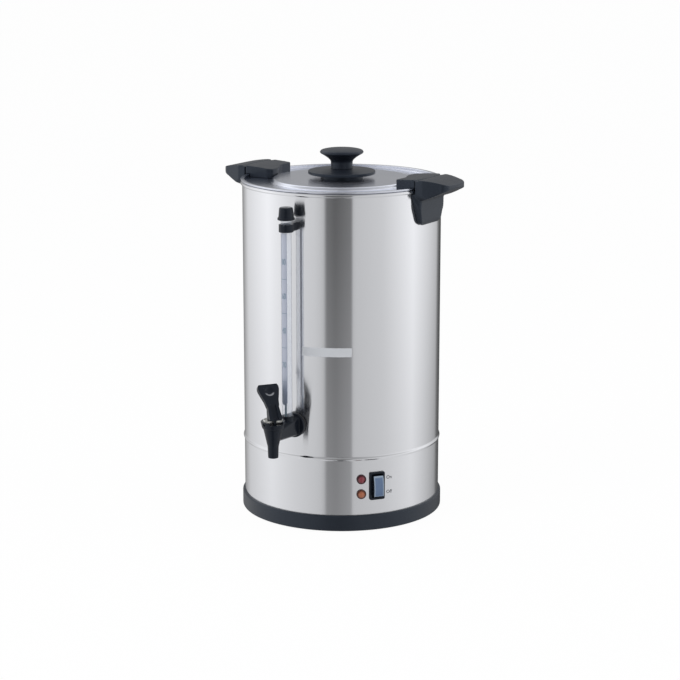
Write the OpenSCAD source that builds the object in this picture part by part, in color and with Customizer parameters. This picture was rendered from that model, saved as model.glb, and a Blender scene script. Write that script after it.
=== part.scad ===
// Coffee urn with a lever tap, a sight gauge and a lift-out percolator.
// Millimetres. Z is up and the origin is on the urn's axis, at the plane of its feet.
// The tap points along -Y. Azimuths count from the tap towards +X.

/* [Body] */
// Outer radius of the tank and the lower housing
body_r = 125; // [118:1:140]
// Thickness of the tank wall and the lower housing
wall_t = 1; // [0.8:0.1:1.4]
// Height of the tank wall, from the seam to the rim
tank_h = 326.5; // [290:0.5:380]
// Height of the lower housing that shows above the base ring
band_h = 75; // [66:1:95]
// Radius of the half-round bead at the top of the lower housing
bead_r = 1.3; // [0.8:0.1:2]
// Width of the rolled tank rim
rim_w = 3.2; // [2.6:0.1:4.4]
// Height of the rolled tank rim
rim_h = 4.5; // [4.4:0.1:6]

/* [Base] */
// Height of the base ring
base_h = 20; // [18:1:28]
// How far the base ring stands out past the body
base_over = 3; // [2:0.5:6]
// Radius of the base ring's rounded edges
base_edge_r = 1.8; // [1:0.1:1.9]
// Depth of the seat that the lower housing stands in
band_seat = 6; // [4:0.5:8]
// Thickness of the base ring's bottom flange
flange_t = 4; // [3.5:0.5:6]
// Inner radius of the base ring's bottom flange
flange_ir = 96; // [92:1:98]
// Thickness of the steel base plate
plate_t = 1.5; // [1:0.1:2.5]
// How far the feet stand below the base ring
foot_h = 2; // [1:0.5:5]
// Radius of a foot
foot_r = 9; // [7:0.5:10]
// Distance of the feet and base screws from the outside of the body
foot_inset = 14; // [12:0.5:16]

/* [Tank floor] */
// Thickness of the tank floor
floor_t = 1.2; // [1:0.1:2]
// Height of the tank floor above the seam
floor_up = 8; // [6:0.5:14]
// Radius of the corner where the floor turns down into its skirt
floor_corner_r = 4; // [3:0.5:5]
// Depth of the floor's skirt below the seam
floor_skirt = 8; // [5:0.5:14]
// Radius of the flat bottom of the heater well
well_r = 25; // [24:0.5:27]
// Depth of the heater well
well_d = 9; // [6:0.5:12]

/* [Heating] */
// Radius of the brew element's ring
brew_ring_r = 60; // [58:0.5:62]
// Radius of the brew element's tube
brew_tube_r = 4; // [3:0.5:4.5]
// Inner radius of the keep-warm pad
warm_in = 67; // [66:0.5:69]
// Outer radius of the keep-warm pad
warm_out = 77; // [74:0.5:78]
// Thickness of the keep-warm pad
warm_t = 4; // [3:0.5:6]
// Distance of the thermostats from the axis
stat_ring_r = 43; // [42:0.5:44]
// Radius of the pillars' circle
pillar_ring_r = 85; // [84:0.5:88]
// Radius of a pillar
pillar_r = 5; // [4:0.5:6]

/* [Lid] */
// Thickness of the lid sheet
lid_t = 1; // [0.8:0.1:1.4]
// Depth of the lid's flange below the tank rim
lid_dip = 1.5; // [1:0.1:3]
// Height of the raised middle above the flange
lid_step = 4; // [3:0.5:6]
// Radius of the raised middle
plateau_r = 86.5; // [80:0.5:88]
// Height of the rolled lid edge
lid_edge_h = 2.4; // [2:0.1:3]
// Gap between lid edge and tank rim
lid_gap = 0.3; // [0.2:0.1:0.6]
// Depth of the locating skirt under the lid
lid_skirt = 10; // [6:0.5:16]

/* [Knob] */
// Radius of the knob's cap
knob_r = 27.3; // [24:0.1:32]
// Radius of the knob's neck
neck_r = 13.7; // [11:0.1:16]
// Radius of the steam skirt under the knob
skirt_r = 42.2; // [36:0.1:50]
// Height of the boss under the steam skirt
boss_h = 5.2; // [4:0.1:7]
// Thickness of the steam skirt at its edge
skirt_t = 4.1; // [3:0.1:6]
// Height of the knob above the steam skirt's edge
knob_h = 28.2; // [26:0.1:36]

/* [Handles] */
// Azimuth of the right handle and lid tab; the left ones are opposite
handle_az = 86; // [80:1:95]
// Half width of the wing where it leaves the tank
wing_root_hw = 34; // [30:0.5:38]
// Half width of the wing at its tip
wing_tip_hw = 27; // [24:0.5:30]
// How far the wing's tip stands out from the body
wing_out = 40; // [34:0.5:46]
// Depth of the leg below the tank rim
leg_drop = 44.5; // [38:0.5:52]
// How far the leg's flat face stands out from the body
leg_out = 6; // [5:0.5:8]
// Depth below the rim where the wing's underside meets the leg
wing_drop = 13; // [11:0.5:16]
// Half width of a lid tab
tab_hw = 34; // [31:0.5:35]
// Height of the lid tabs' and wings' ends above the tank rim
tab_rise = 10; // [9:0.5:13]
// How far the tops of tabs and wings rise towards the seam between them
tab_crown = 2.8; // [1:0.1:4]

/* [Tap] */
// Height of the tap's centre above the seam
tap_rise = 38.5; // [36:0.5:60]
// Distance from the body to the spout's axis
spout_out = 54.8; // [50:0.1:60]
// Length of the spout below the tap's centre
spout_drop = 28.8; // [26:0.2:33]
// Radius of the tap's flange
tap_flange_r = 15.5; // [15:0.1:17]
// Radius of the tap's shank through the tank wall
shank_r = 8; // [7.5:0.1:9]
// Thickness of the tap gasket
gasket_t = 2; // [1.5:0.1:3]
// Outer radius of the cup's lip
cup_r = 13.4; // [13:0.1:14.5]
// Radius of the spout's bore
spout_bore_r = 4.2; // [3.6:0.1:4.5]
// Azimuth that the lever faces
lever_az = 50; // [35:1:60]
// Lean of the lever back from upright
lever_lean = 42; // [38:1:45]
// How far the lever tips forward
lever_swing = 42; // [30:1:42]
// Length of the lever's paddle
paddle_l = 30; // [26:0.5:33]
// Half width of the lever's paddle
paddle_hw = 13.5; // [11:0.1:14.5]

/* [Gauge] */
// Distance from the body to the gauge tube's axis
gauge_out = 19.3; // [18:0.1:24]
// Outer radius of the gauge tube
gauge_r = 6.4; // [6:0.1:6.8]
// Wall of the gauge tube
gauge_wall = 1.6; // [1:0.1:2]
// Depth of the gauge clip's centre below the tank rim
clip_drop = 40; // [36:0.5:60]
// Height of the gauge clip
clip_h = 9.5; // [8:0.5:12]
// Height of the gauge cap
cap_h = 15.5; // [14:0.5:20]
// Bare tube between clip and cap
cap_gap = 5; // [3:0.5:9]

/* [Controls] */
// Azimuth of the rocker switch
switch_az = 47.9; // [46:0.1:56]
// Azimuth of the two lamps
lamp_az = 38.7; // [34:0.1:39]
// Height of the switch above the base ring
switch_up = 36.5; // [30:0.1:44]
// Distance between the lamps, centre to centre
lamp_pitch = 19.1; // [16:0.1:26]
// Radius of a lamp's lens
lamp_r = 6.1; // [5.6:0.1:7]
// Width of the switch bezel
bezel_w = 20; // [18:0.1:21]
// Height of the switch bezel
bezel_h = 35.5; // [34.5:0.1:38]
// Width of the rocker
rocker_w = 13.3; // [10:0.1:14]
// How far the crown of the rocker's face stands out of the bezel
rocker_out = 6.2; // [4:0.1:7]
// Tilt of the rocker to either side
rocker_tilt = 5; // [4:0.5:8]
// Height of the mains inlet above the base ring
inlet_up = 30; // [26:0.5:50]

/* [Percolator] */
// Radius of the coffee basket
basket_r = 90; // [80:0.5:100]
// Height of the coffee basket
basket_h = 75; // [50:0.5:90]
// Depth of the basket's rim below the tank rim
basket_drop = 45; // [40:0.5:70]
// Outer radius of the pump tube
pump_r = 6; // [5:0.1:7]
// Wall of the pump tube
pump_wall = 0.8; // [0.6:0.1:1.2]
// Radius of the screen's holes
hole_r = 1.5; // [1:0.1:2]

/* [Hidden] */
$fn = 64;

// Clearances
rest_gap = 0.3;
run_gap = 0.05;
hole_gap = 0.4;
cut = 1;

// Heights up the urn
z_base = foot_h;
z_band = z_base + base_h;
z_seam = z_band + band_h;
z_rim = z_seam + tank_h;
z_plate = z_base + flange_t;
z_plate_top = z_plate + plate_t;
z_floor = z_seam + floor_up;
z_under = z_floor - floor_t;
z_flange = z_rim - lid_dip;
z_plateau = z_flange + lid_step;
z_lid_low = z_rim + lid_gap;
z_lid_edge = z_lid_low + lid_edge_h;
z_tab = z_rim + tab_rise;
z_crown = z_tab + tab_crown;
z_tap = z_seam + tap_rise;
z_controls = z_band + switch_up;
z_inlet = z_band + inlet_up;

// Radii
tank_ir = body_r - wall_t;
rim_or = tank_ir + rim_w;
base_r = body_r + base_over;
shelf_ir = tank_ir - 2;
foot_ring_r = body_r - foot_inset;
foot_pocket = 1.5;
mouth_gap = 1.2;
dip_r = tank_ir - mouth_gap;
lid_edge_r = rim_or - 0.2;
step_w = 2.5;
tab_seam_r = lid_edge_r + 0.6;
handle_seam_r = tab_seam_r + hole_gap;

// Screws, each a radius
screw_r = 1.75;
screw_head_r = 3.4;
screw_head_h = 2;
stud_r = 2;
stud_head_r = 4;
stud_head_h = 2.4;
pillar_screw_in = 7;

// Tap, heights counted from the tap's centre
y_spout = -(body_r + spout_out);
y_gauge = -(body_r + gauge_out);
tap_plate_t = 4;
boss_r = 13.6;
boss_tip_r = 9.6;
boss_hw = 9;
cup_top = 17.5;
bonnet_r = cup_r + 1.6;
bonnet_h = 9.2;
bonnet_low = cup_top - bonnet_h;
spigot_r = 11.2;
spigot_top = bonnet_low + 2.6;
snap_h = 0.4;
snap_z = bonnet_low + 1.3;
disc_t = 1.2;
spout_tip_r = spout_bore_r + 2.1;
spout_neck_r = spout_bore_r + 2.6;
spout_neck_drop = 14.5;
seat_z = -1.5;
plug_bore_r = 7;
lever_bore_r = 9.5;
lever_bore_z = 5.5;
inlet_bore_r = 3.2;
inlet_bore_z = 2;
socket_r = gauge_r + 1.8;
socket_top = 15.5;
socket_floor = 4.5;
seal_t = 0.9;
seal_h = 3;
pivot_z = cup_top - 3;
pivot_out = 5;
lever_pin_r = 1.5;
lever_low = cup_top - pivot_z + rest_gap;
foot_out = 11;
foot_hw = 8;
foot_rise = 2.2;
waist_out = 1.7;
waist_z = 22;
lever_t = 6;
hub_r = 2.6;
tongue_hw = 2;
toe_end = pivot_out + 3;
stem_pin_r = 1.2;
toe_slot = stem_pin_r + 0.5;
cheek_in = tongue_hw + rest_gap;
cheek_out = 4;
cheek_d = 4;
shank_in = 14;
nut_t = 6;
washer_t = 1.5;

// Gauge
z_clip = z_rim - clip_drop;
z_clip_top = z_clip + clip_h / 2;
z_cap = z_clip_top + cap_gap;
z_cap_top = z_cap + cap_h;
cap_roof = 5;
z_tube_top = z_cap_top - cap_roof;
clip_r = gauge_r + 2.6;
scale_t = 0.3;
scale_half = 33;
scale_low = 15;

// Percolator
z_basket_rim = z_rim - basket_drop;
z_basket = z_basket_rim - basket_h;
basket_t = 1;
basket_ledge = 6;
basket_rim_r = 1.5;
sleeve_gap = 0.5;
sleeve_t = 1.5;
sleeve_r = pump_r + sleeve_gap + sleeve_t;
z_pump_top = z_rim - 15;
z_collar = z_basket - rest_gap;
collar_t = 2;
collar_r = sleeve_r + 2;
z_well = z_floor - well_d;
z_foot = z_well + rest_gap;
foot_bell_h = 18;
foot_bell_r = well_r - 3;

// Points of an arc, for outlines
function arc(cx, cy, r, from, to, n = 6) =
    [for (i = [0 : n]) let (a = from + (to - from) * i / n) [cx + r * cos(a), cy + r * sin(a)]];

// A smooth step from 0 to 1
function ease(t) = let (s = max(0, min(1, t))) s * s * (3 - 2 * s);

// Places children, drawn at -Y, at an azimuth from the tap
module around(azimuth) {
    rotate([0, 0, azimuth]) children();
}

// Places children, drawn along +X, at the right handle or the left one
module beside(side) {
    rotate([0, 0, handle_az - 90 + side]) children();
}

// Repeats children in a ring
module ring_of(count, start = 0) {
    for (i = [0 : count - 1]) rotate([0, 0, start + 360 * i / count]) children();
}

// A cylinder that lies along -Y from one distance from the axis to another
module radial_rod(r, from, to, z) {
    translate([0, -from, z]) rotate([90, 0, 0]) cylinder(r = r, h = to - from);
}

// A block centred on -Y from one distance from the axis to another
module radial_block(w, h, from, to, z) {
    translate([-w / 2, -to, z - h / 2]) cube([w, to - from, h]);
}

// A pan-head screw that points up from the underside of its head
module screw_up(r, head_r, head_h, length) {
    cylinder(r = head_r, h = head_h);
    translate([0, 0, head_h]) cylinder(r = r, h = length);
}

// The space inside the body's outer face
module body_core(z_low, z_high) {
    translate([0, 0, z_low]) cylinder(r = body_r, h = z_high - z_low, $fn = 128);
}

// Outlines of a rectangle with round corners
function round_box(w, h, r) = concat(
    arc(w / 2 - r, h / 2 - r, r, 0, 90), arc(-w / 2 + r, h / 2 - r, r, 90, 180),
    arc(-w / 2 + r, -h / 2 + r, r, 180, 270), arc(w / 2 - r, -h / 2 + r, r, 270, 360));

// A round-cornered plate that faces -Y
module radial_plate(w, h, r, from, to, z) {
    translate([0, -from, z]) rotate([90, 0, 0]) linear_extrude(to - from) polygon(round_box(w, h, r));
}

// Base

module rubber_feet() {
    color("dimgray") ring_of(4, 45) translate([foot_ring_r, 0, 0]) {
        cylinder(r1 = foot_r - 1, r2 = foot_r, h = foot_h);
        translate([0, 0, foot_h]) cylinder(r = foot_r, h = foot_pocket);
    }
}

module base_ring() {
    profile = concat(
        [[flange_ir, z_base]],
        arc(base_r - base_edge_r, z_base + base_edge_r, base_edge_r, -90, 0),
        arc(base_r - base_edge_r, z_band - base_edge_r, base_edge_r, 0, 90),
        [[body_r, z_band], [body_r, z_band - band_seat], [shelf_ir, z_band - band_seat],
         [shelf_ir, z_plate], [flange_ir, z_plate]]);
    color("darkslategray") difference() {
        rotate_extrude($fn = 128) polygon(profile);
        ring_of(4, 45) translate([foot_ring_r, 0, z_base - cut])
            cylinder(r = foot_r, h = foot_pocket + cut);
        ring_of(4) translate([foot_ring_r, 0, z_base - cut]) {
            cylinder(r = screw_head_r + hole_gap, h = screw_head_h + cut);
            cylinder(r = screw_r, h = flange_t + 2 * cut);
        }
    }
}

module base_plate() {
    color("silver") difference() {
        translate([0, 0, z_plate]) cylinder(r = shelf_ir - rest_gap, h = plate_t, $fn = 128);
        ring_of(4) translate([foot_ring_r, 0, z_plate - cut]) cylinder(r = screw_r, h = plate_t + 2 * cut);
        ring_of(3, 30) translate([pillar_ring_r, 0, z_plate - cut])
            cylinder(r = stud_r, h = plate_t + 2 * cut);
        for (row = [-3 : 3]) translate([-20, row * 9 - 2, z_plate - cut]) cube([40, 4, plate_t + 2 * cut]);
    }
}

module base_screws() {
    color("gray") ring_of(4) translate([foot_ring_r, 0, z_base])
        screw_up(screw_r, screw_head_r, screw_head_h, flange_t - screw_head_h + plate_t + 2);
}

module pillars() {
    depth = pillar_screw_in + 1;
    color("gainsboro") ring_of(3, 30) translate([pillar_ring_r, 0, z_plate_top]) difference() {
        cylinder(r = pillar_r, h = z_under - z_plate_top);
        translate([0, 0, -cut]) cylinder(r = stud_r, h = depth + cut);
    }
}

module pillar_screws() {
    length = plate_t + pillar_screw_in;
    color("gray") ring_of(3, 30) translate([pillar_ring_r, 0, z_plate - stud_head_h])
        screw_up(stud_r, stud_head_r, stud_head_h, length);
}

// Housing and tank

module lower_housing() {
    profile = concat(
        [[tank_ir, z_band - band_seat], [body_r, z_band - band_seat]],
        arc(body_r, z_seam - bead_r, bead_r, -90, 90, 8),
        [[tank_ir, z_seam]]);
    color("lightgray") difference() {
        rotate_extrude($fn = 128) polygon(profile);
        around(switch_az) radial_block(switch_body_w, switch_body_h, tank_ir - 10, body_r + 10, z_controls);
        around(lamp_az) lamp_pair() radial_rod(lamp_stem_r, tank_ir - 10, body_r + 10, 0);
        around(180) radial_block(inlet_w, inlet_h, tank_ir - 10, body_r + 10, z_inlet);
        around(180) for (side = [-1, 1]) translate([side * inlet_screw_x, 0, 0])
            radial_rod(screw_r, tank_ir - 10, body_r + 10, z_inlet);
    }
}

module tank_wall() {
    half = rim_w / 2;
    start = -acos((wall_t - half) / half);
    profile = concat(
        [[tank_ir, z_seam], [body_r, z_seam]],
        arc(tank_ir + half, z_rim - rim_h + half, half, start, 0),
        arc(tank_ir + half, z_rim - half, half, 0, 180, 10));
    color("silver") difference() {
        rotate_extrude($fn = 128) polygon(profile);
        radial_rod(shank_r, tank_ir - 10, body_r + 10, z_tap);
        radial_rod(screw_r, tank_ir - 10, body_r + 10, z_clip);
        handle_holes();
    }
}

module tank_floor() {
    slope = 5;
    lean = 0.8;
    inner_corner = floor_corner_r - floor_t;
    z_low = z_seam - floor_skirt;
    corner = [tank_ir - floor_corner_r, z_floor - floor_corner_r];
    profile = concat(
        [[0, z_well], [well_r, z_well], [well_r + slope, z_floor]],
        arc(corner[0], corner[1], floor_corner_r, 90, 0),
        [[tank_ir, z_low], [tank_ir - floor_t, z_low]],
        arc(corner[0], corner[1], inner_corner, 0, 90),
        [[well_r + slope + lean, z_under], [well_r + lean, z_well - floor_t], [0, z_well - floor_t]]);
    color("silver") rotate_extrude($fn = 128) polygon(profile);
}

// Heating and wiring points under the tank floor

module brew_element() {
    sweep = 330;
    leg = 16;
    z_ring = z_under - brew_tube_r;
    color("gray") {
        translate([0, 0, z_ring]) rotate([0, 0, -sweep / 2 - 90]) rotate_extrude(angle = sweep, $fn = 96)
            translate([brew_ring_r, 0]) circle(r = brew_tube_r, $fn = 32);
        for (end = [-1, 1]) rotate([0, 0, end * sweep / 2 - 90]) translate([brew_ring_r, 0, z_ring - leg])
            cylinder(r = brew_tube_r, h = leg);
    }
}

module warm_element() {
    sweep = 300;
    color("tan") translate([0, 0, z_under - warm_t]) rotate([0, 0, -sweep / 2 - 90])
        rotate_extrude(angle = sweep, $fn = 96) translate([warm_in, 0]) square([warm_out - warm_in, warm_t]);
}

module thermostats() {
    cap_r = 11;
    cap_t = 1.5;
    can_r = 8;
    can_h = 10;
    blade = [0.8, 6, 8];
    blade_x = 4;
    color("ivory") for (a = [60, 120]) rotate([0, 0, a]) translate([stat_ring_r, 0, z_under]) {
        translate([0, 0, -cap_t]) cylinder(r = cap_r, h = cap_t);
        translate([0, 0, -can_h]) cylinder(r = can_r, h = can_h - cap_t);
        for (side = [-1, 1])
            translate([side * blade_x - blade[0] / 2, -blade[1] / 2, -can_h - blade[2]]) cube(blade);
    }
}

module terminal_block() {
    ways = 4;
    pitch = 11;
    size = [ways * pitch, 20, 15];
    color("ivory") translate([-size[0] / 2, 30, z_plate_top]) difference() {
        cube(size);
        for (i = [0 : ways - 1]) translate([(i + 0.5) * pitch, 0, 0]) {
            for (y = [6, 14]) translate([0, y, size[2] - 5]) cylinder(r = 2.2, h = 5 + cut);
            translate([0, -cut, 5]) rotate([-90, 0, 0]) cylinder(r = 2, h = size[1] + 2 * cut);
        }
    }
}

// Handles, drawn along +X: x is the distance from the axis and y runs along the wall

leg_screw_y = 15;
leg_screw_drop = 31;

module handle_screw_places() {
    for (side = [0, 180]) around(handle_az + side) for (s = [-1, 1]) translate([s * leg_screw_y, 0, 0])
        children();
}

module handle_holes() {
    handle_screw_places() radial_rod(stud_r, tank_ir - 20, body_r + 5, z_rim - leg_screw_drop);
}

// Side view of the wing: a top that falls from the seam and an underside that thins to the rounded tip
function wing_side() = let (
        tip = body_r + wing_out,
        root = body_r + leg_out,
        nose = 4,
        droop = 1.4,
        tip_z = z_tab - 2.2 - nose,
        run = tip - nose - 2 - handle_seam_r)
    concat(
        [[tank_ir, z_rim - wing_drop], [root, z_rim - wing_drop]],
        [for (i = [1 : 5]) let (t = i / 6) [root + (tip - nose - root) * t,
            z_rim - wing_drop + (tip_z - nose - z_rim + wing_drop) * (0.72 * t + 0.28 * t * t)]],
        arc(tip - nose, tip_z, nose, -75, 72),
        [for (i = [6 : -1 : 1])
            [handle_seam_r + run * i / 6, z_crown - (tab_crown + droop) * pow(i / 6, 1.8)]],
        [[handle_seam_r + 1, z_crown - 0.2], [handle_seam_r, z_crown - 1], [tank_ir, z_crown - 1]]);

// Section across the wing, its lower edges rounded in to the leg's width
function wing_section() = let (
        half = wing_root_hw + 1,
        low = z_rim - wing_drop,
        ease_w = 7,
        ease_h = wing_drop + 2)
    concat(
        [[-half, z_crown + 1]],
        [for (i = [0 : 6]) let (a = 15 * i) [-half + ease_w * (1 - cos(a)), low + ease_h * (1 - sin(a))]],
        [for (i = [6 : -1 : 0]) let (a = 15 * i) [half - ease_w * (1 - cos(a)), low + ease_h * (1 - sin(a))]],
        [[half, z_crown + 1]]);

// Plan of the wing: sides that draw in towards a tip with round corners
function wing_plan() = let (
        tip = body_r + wing_out,
        round_r = 11,
        half = wing_tip_hw)
    concat(
        [[tank_ir - 20, -wing_root_hw], [handle_seam_r + 6, -wing_root_hw]],
        arc(tip - round_r - 1, -half + round_r, round_r, -80, -12),
        [[tip, 0]],
        arc(tip - round_r - 1, half - round_r, round_r, 12, 80),
        [[handle_seam_r + 6, wing_root_hw], [tank_ir - 20, wing_root_hw]]);

// Plan of the leg: a flat face whose sides spread to the wall
function leg_plan() = let (
        face = body_r + leg_out,
        half = wing_root_hw - 5,
        spread = 8,
        ease_r = 1.5)
    [[tank_ir - 20, -half - spread], [tank_ir - 6, -half - spread], [face - ease_r, -half - 0.8],
     [face, -half + ease_r], [face, half - ease_r], [face - ease_r, half + 0.8],
     [tank_ir - 6, half + spread], [tank_ir - 20, half + spread]];

// Front of the leg, drawn in towards round lower corners
function leg_front() = let (
        top = z_rim - rim_h - hole_gap,
        low = z_rim - leg_drop,
        half_top = wing_root_hw + 2,
        half_low = wing_root_hw - 8.5,
        round_r = 8)
    concat([[-half_top, top]],
        arc(-half_low + round_r, low + round_r, round_r, 188, 270),
        arc(half_low - round_r, low + round_r, round_r, 270, 352),
        [[half_top, top]]);

// Side of the leg, thinner towards its foot
function leg_side() = let (
        face = body_r + leg_out,
        low = z_rim - leg_drop)
    [[tank_ir - 20, low], [face - 3.2, low], [face - 1.6, low + 4], [face, z_rim - wing_drop],
     [face, z_rim - rim_h - hole_gap], [tank_ir - 20, z_rim - rim_h - hole_gap]];

module handle_shape() {
    reach = 60;
    z_relief = z_rim - rim_h - hole_gap;
    difference() {
        union() {
            intersection() {
                translate([0, reach, 0]) rotate([90, 0, 0]) linear_extrude(2 * reach) polygon(wing_side());
                translate([0, 0, z_rim - 60]) linear_extrude(90) polygon(wing_plan());
                rotate([90, 0, 90]) linear_extrude(body_r + reach) polygon(wing_section());
            }
            intersection() {
                translate([0, 0, z_rim - 60]) linear_extrude(90) polygon(leg_plan());
                rotate([90, 0, 90]) linear_extrude(body_r + reach) polygon(leg_front());
                translate([0, reach, 0]) rotate([90, 0, 0]) linear_extrude(2 * reach) polygon(leg_side());
            }
        }
        body_core(z_rim - 80, z_rim);
        translate([0, 0, z_relief]) cylinder(r = handle_seam_r, h = 60, $fn = 128);
        rotate([0, 0, 90]) for (s = [-1, 1]) translate([s * leg_screw_y, 0, 0])
            radial_rod(stud_r, tank_ir - 20, body_r + leg_out - 2.5, z_rim - leg_screw_drop);
    }
}

module handle_right() {
    color("darkslategray") beside(0) handle_shape();
}

module handle_left() {
    color("darkslategray") beside(180) handle_shape();
}

module handle_screws() {
    seat = sqrt(tank_ir * tank_ir - pow(leg_screw_y + stud_head_r, 2));
    color("gray") handle_screw_places() {
        radial_rod(stud_head_r, seat - stud_head_h, seat, z_rim - leg_screw_drop);
        radial_rod(stud_r, seat, body_r + leg_out - 2.5, z_rim - leg_screw_drop);
    }
}

// Tap

// Places children, drawn about the spout's axis and facing -Y, the way the lever faces
module at_lever() {
    translate([0, y_spout, z_tap]) rotate([0, 0, lever_az]) children();
}

// Outline of the spout and cup, up to the spigot that the bonnet snaps on to
function cup_profile() = [
    [0, -spout_drop], [spout_tip_r, -spout_drop], [spout_neck_r, -spout_neck_drop],
    [cup_r - 1.4, bonnet_low], [spigot_r, bonnet_low], [spigot_r, snap_z - snap_h],
    [spigot_r + snap_h, snap_z], [spigot_r, snap_z + snap_h], [spigot_r, spigot_top], [0, spigot_top]];

module tap_body() {
    flange_at = body_r + gasket_t;
    boss_l = -y_spout - flange_at - tap_plate_t;
    color("darkslategray") difference() {
        union() {
            radial_rod(tap_flange_r, flange_at, flange_at + tap_plate_t, z_tap);
            radial_rod(shank_r, tank_ir - shank_in, flange_at, z_tap);
            difference() {
                intersection() {
                    translate([0, y_spout + boss_l, z_tap]) rotate([90, 0, 0])
                        cylinder(r1 = boss_r, r2 = boss_tip_r, h = boss_l);
                    radial_block(2 * boss_hw, 4 * boss_r, flange_at, -y_spout, z_tap);
                }
                translate([0, y_spout, z_tap + bonnet_low]) cylinder(r = bonnet_r + hole_gap, h = boss_r);
            }
            translate([0, y_gauge, z_tap]) cylinder(r = socket_r, h = socket_top);
            translate([0, y_spout, z_tap]) rotate_extrude() polygon(cup_profile());
        }
        translate([0, y_spout, z_tap]) {
            translate([0, 0, -spout_drop - cut])
                cylinder(r = spout_bore_r, h = spout_drop + seat_z + 2 * cut);
            translate([0, 0, seat_z]) cylinder(r = plug_bore_r, h = cup_top);
            translate([0, 0, lever_bore_z]) cylinder(r = lever_bore_r, h = cup_top);
        }
        radial_rod(inlet_bore_r, tank_ir - shank_in - cut, -y_spout, z_tap + inlet_bore_z);
        translate([0, y_gauge, z_tap + socket_floor]) cylinder(r = gauge_r, h = 2 * socket_top);
        translate([0, y_gauge, z_tap + socket_top - seal_h]) cylinder(r = gauge_r + seal_t, h = seal_h + cut);
    }
}

module tap_gasket() {
    color("dimgray") difference() {
        radial_rod(tap_flange_r - 1, tank_ir - 5, body_r + gasket_t, z_tap);
        body_core(z_tap - 30, z_tap + 30);
        radial_rod(shank_r, tank_ir - 10, body_r + 10, z_tap);
    }
}

// Flat spot inside the curved wall that the washer bears on
washer_r = 13;
washer_seat = sqrt(pow(body_r - wall_t, 2) - washer_r * washer_r);

module tap_washer() {
    color("dimgray") difference() {
        intersection() {
            radial_rod(washer_r, washer_seat - washer_t, tank_ir + 5, z_tap);
            translate([0, 0, z_tap - 30]) cylinder(r = tank_ir, h = 60, $fn = 512);
        }
        radial_rod(shank_r + hole_gap, tank_ir - 20, body_r + 10, z_tap);
    }
}

module tap_nut() {
    color("gray") difference() {
        translate([0, -(washer_seat - washer_t - nut_t), z_tap]) rotate([90, 0, 0])
            cylinder(r = washer_r, h = nut_t, $fn = 6);
        radial_rod(shank_r, tank_ir - 30, body_r + 10, z_tap);
    }
}

// Heights of the stem and plug, counted from the tap's centre
plug_low = seat_z + rest_gap;
plug_top = lever_bore_z;
stem_base_t = 1.5;

// Turning ring on top of the cup, its front cut away for the lever's foot
module tap_bonnet() {
    low = bonnet_low + rest_gap;
    bore = spigot_r + run_gap;
    z_bore = spigot_top + rest_gap;
    edge = 0.6;
    notch_hw = foot_hw + hole_gap;
    notch_in = pivot_out + lever_pin_r + 0.9;
    foot_dip = (foot_out - pivot_out) * sin(lever_swing) - (lever_low + foot_rise) * cos(lever_swing);
    notch_z = pivot_z - foot_dip - hole_gap;
    profile = [[bore, low], [cup_r - edge, low], [cup_r, low + edge],
        [bonnet_r, cup_top - edge], [bonnet_r - edge, cup_top], [bonnet_r - 3, cup_top],
        [lever_bore_r, z_bore + disc_t], [lever_bore_r, z_bore], [bore, z_bore], [bore, snap_z + 2 * snap_h],
        [bore + snap_h + rest_gap, snap_z], [bore, snap_z - 2 * snap_h]];
    color("darkslategray") at_lever() difference() {
        rotate_extrude() polygon(profile);
        translate([-notch_hw, -bonnet_r - cut, notch_z])
            cube([2 * notch_hw, bonnet_r + cut - notch_in, cup_top]);
        translate([-2 * bonnet_r, -pivot_out, pivot_z]) rotate([0, 90, 0])
            cylinder(r = lever_pin_r, h = 4 * bonnet_r);
    }
}

// White disc in the bonnet, slotted for the lever's tongue and the stem
module bonnet_disc() {
    slot_x = cheek_out + hole_gap;
    slot_y = cheek_d / 2 + hole_gap;
    tongue_x = tongue_hw + hole_gap;
    tongue_y = pivot_out + hub_r + hole_gap;
    color("white") at_lever() translate([0, 0, spigot_top + rest_gap]) difference() {
        cylinder(r = lever_bore_r, h = disc_t);
        translate([-slot_x, -slot_y, -cut]) cube([2 * slot_x, 2 * slot_y, disc_t + 2 * cut]);
        translate([-tongue_x, -tongue_y, -cut])
            cube([2 * tongue_x, tongue_y + toe_end - pivot_out + hole_gap, disc_t + 2 * cut]);
    }
}

module lever_pin() {
    half = sqrt(cup_r * cup_r - pivot_out * pivot_out) - 0.9;
    color("silver") at_lever() translate([-half, -pivot_out, pivot_z]) rotate([0, 90, 0])
        cylinder(r = lever_pin_r, h = 2 * half);
}

// A point of the paddle's side view, a length up from the waist and a depth in from the front face
function paddle_point(l, d) = [
    pivot_out - waist_out + l * sin(lever_lean) + d * cos(lever_lean),
    waist_z + l * cos(lever_lean) - d * sin(lever_lean)];

// Side view of the lever's foot up to the paddle: y runs towards the urn and z up, both from the pivot
function foot_side() = let (
        front = pivot_out - foot_out,
        tuck = lever_t / 5)
    [[pivot_out - 1.5, lever_low], [front, lever_low + foot_rise], [front - 0.2, lever_low + foot_rise + 3.1],
     paddle_point(0, 0), paddle_point(lever_t / 2, tuck), paddle_point(lever_t / 2, lever_t - tuck),
     paddle_point(0, lever_t), [pivot_out, waist_z - 2 * lever_t]];

// Front of the lever's foot, drawn in towards the waist
function foot_front() = let (
        waist_hw = 0.9 * foot_hw,
        top = waist_z + lever_t)
    [[-foot_hw, 0], [foot_hw, 0], [foot_hw, waist_z / 2], [waist_hw, waist_z - 2], [waist_hw, top],
     [-waist_hw, top], [-waist_hw, waist_z - 2], [-foot_hw, waist_z / 2]];

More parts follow.
